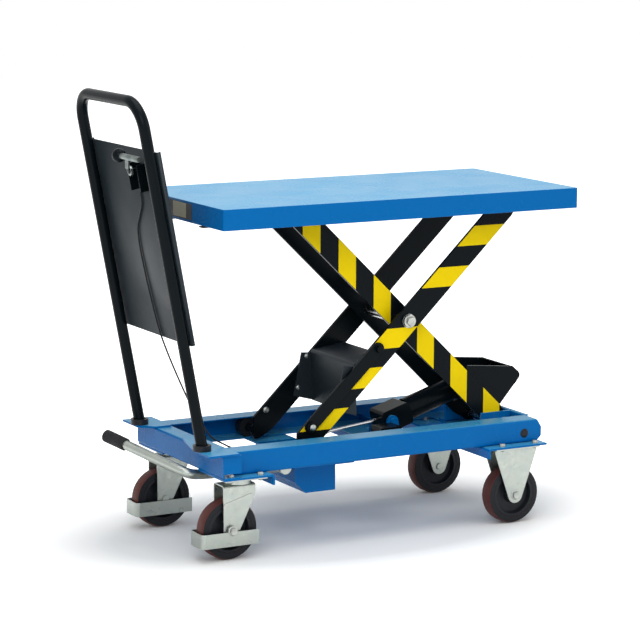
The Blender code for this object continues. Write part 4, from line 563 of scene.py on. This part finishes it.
def flat_plate(name, corner, opposite, material, body, thickness):
    """An upright sheet between two corners: a grid of 2 by 2 points with a wall to both sides."""
    corner = np.array(corner, float)
    opposite = np.array(opposite, float)
    low = np.stack([corner, [*opposite[:2], corner[2]]])
    high = np.stack([[*corner[:2], opposite[2]], opposite])
    return solid_sheet(grid_object(name, np.stack([low, high]), material, body), thickness)


class LIFTTABLE_OT_finishes(bpy.types.Operator):
    """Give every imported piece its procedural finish"""

    bl_idname = "lift_table.finishes"
    bl_label = "Finishes"

    def execute(self, context):
        paint = context.scene.lift_table_paint
        edge = context.scene.lift_table_sizes.edge_width
        groups = (
            (BLUE_NODES, sheet_paint("blue_powder_paint", tuple(paint.blue), 0.26, 0.02, 0.07, TOP_PAINTED_LIGHT), edge),
            (BLACK_NODES, sheet_paint("black_powder_paint", tuple(paint.black), 0.24, 0.01, 0.06), edge),
            (GREY_NODES, sheet_paint("grey_powder_paint", tuple(paint.grey), 0.42, 0.04, 0.17), edge),
            (ZINC_NODES, zinc_plate("zinc_plate", tuple(paint.zinc)), edge),
            (STEEL_NODES, bright_steel("ground_steel"), edge / 2),
            (PLASTIC_NODES, moulding("black_moulding", (0.010, 0.012, 0.016), 0.42), edge / 2),
            (RUBBER_NODES, moulding("black_rubber", (0.020, 0.020, 0.022), 0.70), edge / 2),
            (TREAD_NODES, tread_elastic("brown_tread", tuple(paint.tread)), edge / 2),
        )
        for nodes, material, width in groups:
            for node in nodes:
                soften(node, material, width)
        self.round_fold(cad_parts["platform_tray"])
        return {"FINISHED"}

    def round_fold(self, tray):
        """Round the platform's fold where its top meets its sides."""
        count = len(tray.data.vertices)
        place = np.empty(count * 3)
        tray.data.vertices.foreach_get("co", place)
        place = place.reshape(-1, 3)
        fold = tray.vertex_groups.new(name="fold")
        fold.add(np.flatnonzero(place[:, 2] > place[:, 2].max() - FOLD_REACH).tolist(), 1.0, "REPLACE")
        edge = tray.modifiers["edge"]
        edge.limit_method = "VGROUP"
        edge.vertex_group = "fold"
        edge.width = FOLD_RADIUS
        edge.segments = 4


def band_points(start, end, along_x, low, high, face, lines=9):
    """A tape band on an arm: a parallelogram between the arm's two edges and two cuts.

    The arm's middle line runs from start to end in side view. A point is middle(t) + s * normal, where s goes
    from edge to edge, and t is solved so that the cut has a constant X, or a constant Z. Where an inner arm
    narrows towards its ends, Z is held within its edge.
    """
    start = np.array(start, float)
    direction = np.array(end, float) - start
    direction /= np.linalg.norm(direction)
    normal = np.array([-direction[1], direction[0]])
    across = np.linspace(-ARM_HALF_DEPTH, ARM_HALF_DEPTH, 3)[:, None]
    level = np.linspace(low, high, lines)[None, :]
    axis = 0 if along_x else 1
    travel = (level - start[axis] - across * normal[axis]) / direction[axis]
    x = start[0] + travel * direction[0] + across * normal[0]
    z = start[1] + travel * direction[1] + across * normal[1]
    if along_x:
        z = np.maximum(z, np.interp(x, *LOWER_EDGE, left=0.0))
        z = np.minimum(z, np.interp(x, *UPPER_EDGE, right=2.0))
    return np.stack([x, np.full_like(x, face), z], -1)


class LIFTTABLE_OT_tape_bands(bpy.types.Operator):
    """Lay the yellow tape bands on the outward faces of all four arms"""

    bl_idname = "lift_table.tape_bands"
    bl_label = "Tape bands"

    def execute(self, context):
        sizes = context.scene.lift_table_sizes
        pitch = sizes.band_pitch
        yellow = tape("yellow_tape", tuple(context.scene.lift_table_paint.yellow))
        inner_line = ((LOWER_PIVOT.x, LOWER_PIVOT.z), (TOP_ROLLER_X, UPPER_PIVOT.z))
        outer_line = ((TOP_ROLLER_X, LOWER_PIVOT.z), (UPPER_PIVOT.x, UPPER_PIVOT.z))
        inner_starts = [
            TOP_ROLLER_X + first + pitch * share * k for first, share, count in INNER_RUNS for k in range(count)]
        outer_starts = [
            UPPER_PIVOT.z - first - pitch * share * k for first, share, count in OUTER_RUNS for k in range(count)]
        sets = (
            ("inner", inner_line, True, inner_starts, INNER_FACE, "inner_arms"),
            ("outer", outer_line, False, outer_starts, OUTER_FACE, "outer_arms"),
        )
        for word, (start, end), along_x, starts, face, body in sets:
            for side, side_word in ((-1, "near"), (1, "far")):
                for number, low in enumerate(starts):
                    high = low + sizes.band_width
                    points = band_points(start, end, along_x, low, high, side * (face + TAPE_GAP))
                    name = f"tape_{word}_{side_word}_{number}"
                    solid_sheet(grid_object(name, points, yellow, body), TAPE_THICKNESS)
        return {"FINISHED"}


class LIFTTABLE_OT_fasteners(bpy.types.Operator):
    """Set the nuts of the castors and the bolts of the cross plate"""

    bl_idname = "lift_table.fasteners"
    bl_label = "Fasteners"

    def execute(self, context):
        sizes = context.scene.lift_table_sizes
        nut = (sizes.nut_flats, sizes.nut_height)
        plated = zinc_plate("plated_fastener", (0.40, 0.41, 0.38))
        for side, word in ((-1.0, "near"), (1.0, "far")):
            for end, node in (("front", "swivel_plate_"), ("rear", "fixed_fork_")):
                low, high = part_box(node + word)
                first = low.x if end == "front" else high.x - CASTOR_PLATE_LENGTH
                columns = (first + CASTOR_HOLE_INSETS[0], high.x - CASTOR_HOLE_INSETS[1])
                for number, x in enumerate(columns):
                    for row, y in enumerate((side * CASTOR_ROWS[0], side * CASTOR_ROWS[1])):
                        mark = f"{end}_{word}_{number}_{row}"
                        if end == "rear" or row == 0:
                            points = hex_points((x, y, CASTOR_NUT_Z), (0, 0, 1), *nut)
                            round_piece(f"castor_nut_{mark}", points, plated, "base")
                        points = dome_points((x, y, high.z - HEAD_SINK), (0, 0, -1), *CASTOR_HEAD)
                        round_piece(f"castor_bolt_{mark}", points, plated, "base")
        edge_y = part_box("cross_plate")[1].y
        for side, word in ((-1, "near"), (1, "far")):
            for number, (x, z) in enumerate(CROSS_PLATE_HEADS):
                points = dome_points((x, side * (edge_y - HEAD_SINK), z), (0, -side, 0), *CROSS_PLATE_HEAD)
                round_piece(f"cross_plate_bolt_{word}_{number}", points, plated, "outer_arms")
        return {"FINISHED"}


class LIFTTABLE_OT_push_bow(bpy.types.Operator):
    """Bend the push bow's tube, fold its panel and turn the release lever"""

    bl_idname = "lift_table.push_bow"
    bl_label = "Push bow"

    def execute(self, context):
        sizes = context.scene.lift_table_sizes
        black = bpy.data.materials["black_powder_paint"]
        grey = bpy.data.materials["grey_powder_paint"]
        line = rounded_line([
            (-BOW_HALF_WIDTH, BOW_LOW_END), (-BOW_HALF_WIDTH, BOW_TOP), (BOW_HALF_WIDTH, BOW_TOP),
            (BOW_HALF_WIDTH, BOW_LOW_END)], sizes.bow_bend, 16)
        tube = round_piece("push_bow_tube", bow_tube_points(line, BOW_RADIUS), black, "base")
        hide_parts("push_bow")
        back = PANEL_FACE + sizes.panel_flange
        section = rounded_line([
            (-PANEL_HALF_WIDTH, back), (-PANEL_HALF_WIDTH, PANEL_FACE), (PANEL_HALF_WIDTH, PANEL_FACE),
            (PANEL_HALF_WIDTH, back)], PANEL_FOLD, 6)
        rise = np.array(PANEL_RISE)[:, None]
        points = on_bow(section[:, 0], rise, section[:, 1])
        panel = solid_sheet(grid_object("bow_panel_sheet", points, grey, "base"), PANEL_THICKNESS)
        smooth(panel)
        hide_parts("bow_panel")
        self.release_lever(black)
        return {"FINISHED"}

    def release_lever(self, black):
        """The lever's knob, its rod, the round plate on its pivot and the link between them."""
        pale = zinc_plate("lever_rod_plating", LEVER_PLATING)
        body = "release_lever"
        low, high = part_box("release_lever")
        knob = np.array([low.x + KNOB_INSET[0], KNOB_Y, high.z - KNOB_INSET[1]])
        share = np.linspace(0.0, math.pi, 13)
        points = turned_points(knob, OUTWARD_NEAR, KNOB_RADIUS * np.sin(share), -KNOB_RADIUS * np.cos(share))
        ball = round_piece("lever_knob", points, black, body)
        round_piece("lever_rod", turned_points(knob, OUTWARD_NEAR, *ROD_PROFILE), pale, body)
        forward = on_bow(0.0, 0.0, -1.0) - on_bow(0.0, 0.0, 0.0)
        points = turned_points(on_bow(*LEVER_PIVOT), forward, *PIVOT_PROFILE)
        round_piece("lever_plate", points, pale, body)
        corner, opposite = (knob + np.array(place) for place in LINK_CORNERS)
        flat_plate("lever_link", corner, opposite, pale, body, LINK_THICKNESS)
        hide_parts("release_lever")


class LIFTTABLE_OT_sheet_details(bpy.types.Operator):
    """Close the rail ends and the lift bracket, and set the plugs, heads and the bare end plate"""

    bl_idname = "lift_table.sheet_details"
    bl_label = "Sheet details"

    def execute(self, context):
        blue = bpy.data.materials["blue_powder_paint"]
        black = bpy.data.materials["black_powder_paint"]
        plug = bpy.data.materials["black_moulding"]
        plated = bpy.data.materials["plated_fastener"]
        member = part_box("front_member")[0]
        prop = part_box("service_prop")[0]
        for side, word in ((-1.0, "near"), (1.0, "far")):
            outward = (0, side, 0)
            low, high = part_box("side_rail_" + word)
            start = (member.x + END_START, side * END_Y, END_Z)
            stop = (low.x + END_LAP, side * END_Y, high.z - END_DROP)
            flat_plate(f"front_member_end_{word}", start, stop, blue, "base", END_THICKNESS)
            crease = strip_points(CREASE_LINE, side * CREASE_Y, CREASE_HEIGHT)
            solid_sheet(grid_object(f"fork_crease_{word}", crease, plated, f"swivel_{word}"), CREASE_THICKNESS)
            shaft = (CENTRE_SHAFT.x, side * SHAFT_WASHER_Y, CENTRE_SHAFT.z)
            heads = [
                ("rail_plug", (PLUG_X, side * PLUG_Y, high.z - PLUG_DROP), PLUG_HEAD, plug, "base"),
                ("shaft_washer", shaft, SHAFT_WASHER, plated, "inner_arms"),
            ]
            for end, reach in AXLE_Y:
                near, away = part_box(f"hub_{end}_{word}")
                place = ((near.x + away.x) / 2, side * reach, (near.z + away.z) / 2)
                body = f"swivel_{word}" if end == "swivel" else "base"
                heads.append((f"axle_washer_{end}", place, AXLE_WASHER, plated, body))
                round_piece(f"axle_nut_{end}_{word}", hex_points(place, outward, *AXLE_NUT), plated, body)
            place = (CENTRE_SHAFT.x, side * SHAFT_NUT_Y, CENTRE_SHAFT.z)
            round_piece(f"shaft_nut_{word}", hex_points(place, outward, *SHAFT_NUT), plated, "inner_arms")
            for name, place, shape, material, body in heads:
                round_piece(f"{name}_{word}", dome_points(place, outward, *shape), material, body)
        for word, y, body in (("near", prop.y, "service_prop"), ("far", FAR_PROP_BOLT_Y, "outer_arms")):
            points = dome_points((PROP_BOLT_X, y, PROP_BOLT_Z), OUTWARD_NEAR, *PROP_HEAD)
            round_piece(f"prop_bolt_{word}", points, plated, body)
        line = rounded_line(LIP_CORNERS, LIP_BEND, 8)
        across = np.array([-LIP_HALF_WIDTH, LIP_HALF_WIDTH])[:, None]
        lip = np.stack(np.broadcast_arrays(line[:, 0], across, line[:, 1]), -1)
        solid_sheet(grid_object("lift_bracket_lip", lip, black, "inner_arms"), LIP_THICKNESS)
        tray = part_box("platform_tray")[0]
        for name, finish, colour, proud, low, high, thickness in BARE_PLATES:
            x = tray.x - proud
            flat_plate(name, (x, *low), (x, *high), moulding(finish, colour, 0.5), "platform", thickness)
        return {"FINISHED"}


class LIFTTABLE_OT_studio(bpy.types.Operator):
    """Build the floor, the lamps, the background and the photograph's camera"""

    bl_idname = "lift_table.studio"
    bl_label = "Studio"

    def execute(self, context):
        scene = context.scene
        scene.view_settings.view_transform = "Standard"
        floor_mesh = bpy.data.meshes.new("floor")
        half = FLOOR_HALF
        floor_mesh.from_pydata(
            [(-half, -half, 0.0), (half, -half, 0.0), (half, half, 0.0), (-half, half, 0.0)], [], [(0, 1, 2, 3)])
        floor = bpy.data.objects.new("floor", floor_mesh)
        scene.collection.objects.link(floor)
        floor_mesh.materials.append(self.floor_paint())
        for name, place, size, power in LAMPS:
            lamp = bpy.data.lights.new(name, "AREA")
            lamp.size = size
            lamp.energy = power
            holder = bpy.data.objects.new(name, lamp)
            holder.location = place
            aim = LAMP_AIM - Vector(place)
            holder.rotation_euler = aim.to_track_quat("-Z", "Y").to_euler()
            scene.collection.objects.link(holder)
        self.background(scene)
        self.viewpoint(scene)
        return {"FINISHED"}

    def floor_paint(self):
        """Matt white floor, which a camera ray sees brighter with the distance from the chassis, up to white."""
        pale = Shader("pale_floor", (0.90, 0.90, 0.90), 0.9)
        pale.shader.inputs["Specular IOR Level"].default_value = 0.1
        length = pale.tree.nodes.new("ShaderNodeVectorMath")
        length.operation = "LENGTH"
        pale.link(pale.stretched((1.0, 1.7, 1.0)), length.inputs[0])
        away = pale.ramp(length.outputs["Value"], 0.56, 1.25, 0.02, 1.0)
        pale.shader.inputs["Emission Color"].default_value = WHITE
        pale.link(pale.product(directly_seen(pale.tree), away), pale.shader.inputs["Emission Strength"])
        return pale.material

    def background(self, scene):
        """White where a ray of the camera, of gloss or of glass meets the world, and a plain pale light elsewhere."""
        world = bpy.data.worlds.new("studio")
        scene.world = world
        world.use_nodes = True
        tree = world.node_tree
        tree.nodes.clear()
        lights = []
        for colour, strength in ((WORLD_COLOUR, WORLD_STRENGTH), (WHITE, 1.0)):
            light = tree.nodes.new("ShaderNodeBackground")
            light.inputs["Color"].default_value = colour
            light.inputs["Strength"].default_value = strength
            lights.append(light.outputs["Background"])
        mix = tree.nodes.new("ShaderNodeMixShader")
        tree.links.new(directly_seen(tree), mix.inputs["Fac"])
        tree.links.new(lights[0], mix.inputs[1])
        tree.links.new(lights[1], mix.inputs[2])
        out = tree.nodes.new("ShaderNodeOutputWorld")
        tree.links.new(mix.outputs["Shader"], out.inputs["Surface"])

    def viewpoint(self, scene):
        """The camera of the photograph."""
        camera = bpy.data.cameras.new("photo_camera")
        camera.lens = VIEW_LENS
        camera.sensor_width = 36.0
        camera.clip_end = 60.0
        back = Vector((
            math.sin(VIEW_AZIMUTH) * math.cos(VIEW_ELEVATION),
            -math.cos(VIEW_AZIMUTH) * math.cos(VIEW_ELEVATION), math.sin(VIEW_ELEVATION)))
        right = Vector((math.cos(VIEW_AZIMUTH), math.sin(VIEW_AZIMUTH), 0.0))
        up = back.cross(right)
        turn = Matrix((right, up, back)).transposed().to_4x4() @ Matrix.Rotation(VIEW_ROLL, 4, "Z")
        place = VIEW_CENTRE + back * VIEW_DISTANCE - right * VIEW_SLIDE[0] - up * VIEW_SLIDE[1]
        holder = bpy.data.objects.new("photo_camera", camera)
        holder.matrix_world = Matrix.Translation(place) @ turn
        scene.collection.objects.link(holder)
        scene.camera = holder


class LIFTTABLE_PT_panel(bpy.types.Panel):
    """Steps and values of the lift table's finish"""

    bl_label = "Lift Table"
    bl_idname = "LIFTTABLE_PT_panel"
    bl_space_type = "VIEW_3D"
    bl_region_type = "UI"
    bl_category = "Lift Table"

    def draw(self, context):
        layout = self.layout
        for step in STEPS:
            layout.operator(step.bl_idname)
        for group in (context.scene.lift_table_paint, context.scene.lift_table_sizes):
            for name in group.__annotations__:
                layout.prop(group, name)


STEPS = (LIFTTABLE_OT_finishes, LIFTTABLE_OT_tape_bands, LIFTTABLE_OT_fasteners, LIFTTABLE_OT_push_bow,
         LIFTTABLE_OT_sheet_details, LIFTTABLE_OT_studio)
CLASSES = (LiftTablePaint, LiftTableSizes, *STEPS, LIFTTABLE_PT_panel)


def register():
    for cls in CLASSES:
        bpy.utils.register_class(cls)
    bpy.types.Scene.lift_table_paint = PointerProperty(type=LiftTablePaint)
    bpy.types.Scene.lift_table_sizes = PointerProperty(type=LiftTableSizes)


def unregister():
    del bpy.types.Scene.lift_table_sizes
    del bpy.types.Scene.lift_table_paint
    for cls in reversed(CLASSES):
        bpy.utils.unregister_class(cls)


def main():
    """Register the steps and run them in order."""
    register()
    bpy.ops.lift_table.finishes()
    bpy.ops.lift_table.tape_bands()
    bpy.ops.lift_table.fasteners()
    bpy.ops.lift_table.push_bow()
    bpy.ops.lift_table.sheet_details()
    bpy.ops.lift_table.studio()


if __name__ == "__main__":
    main()
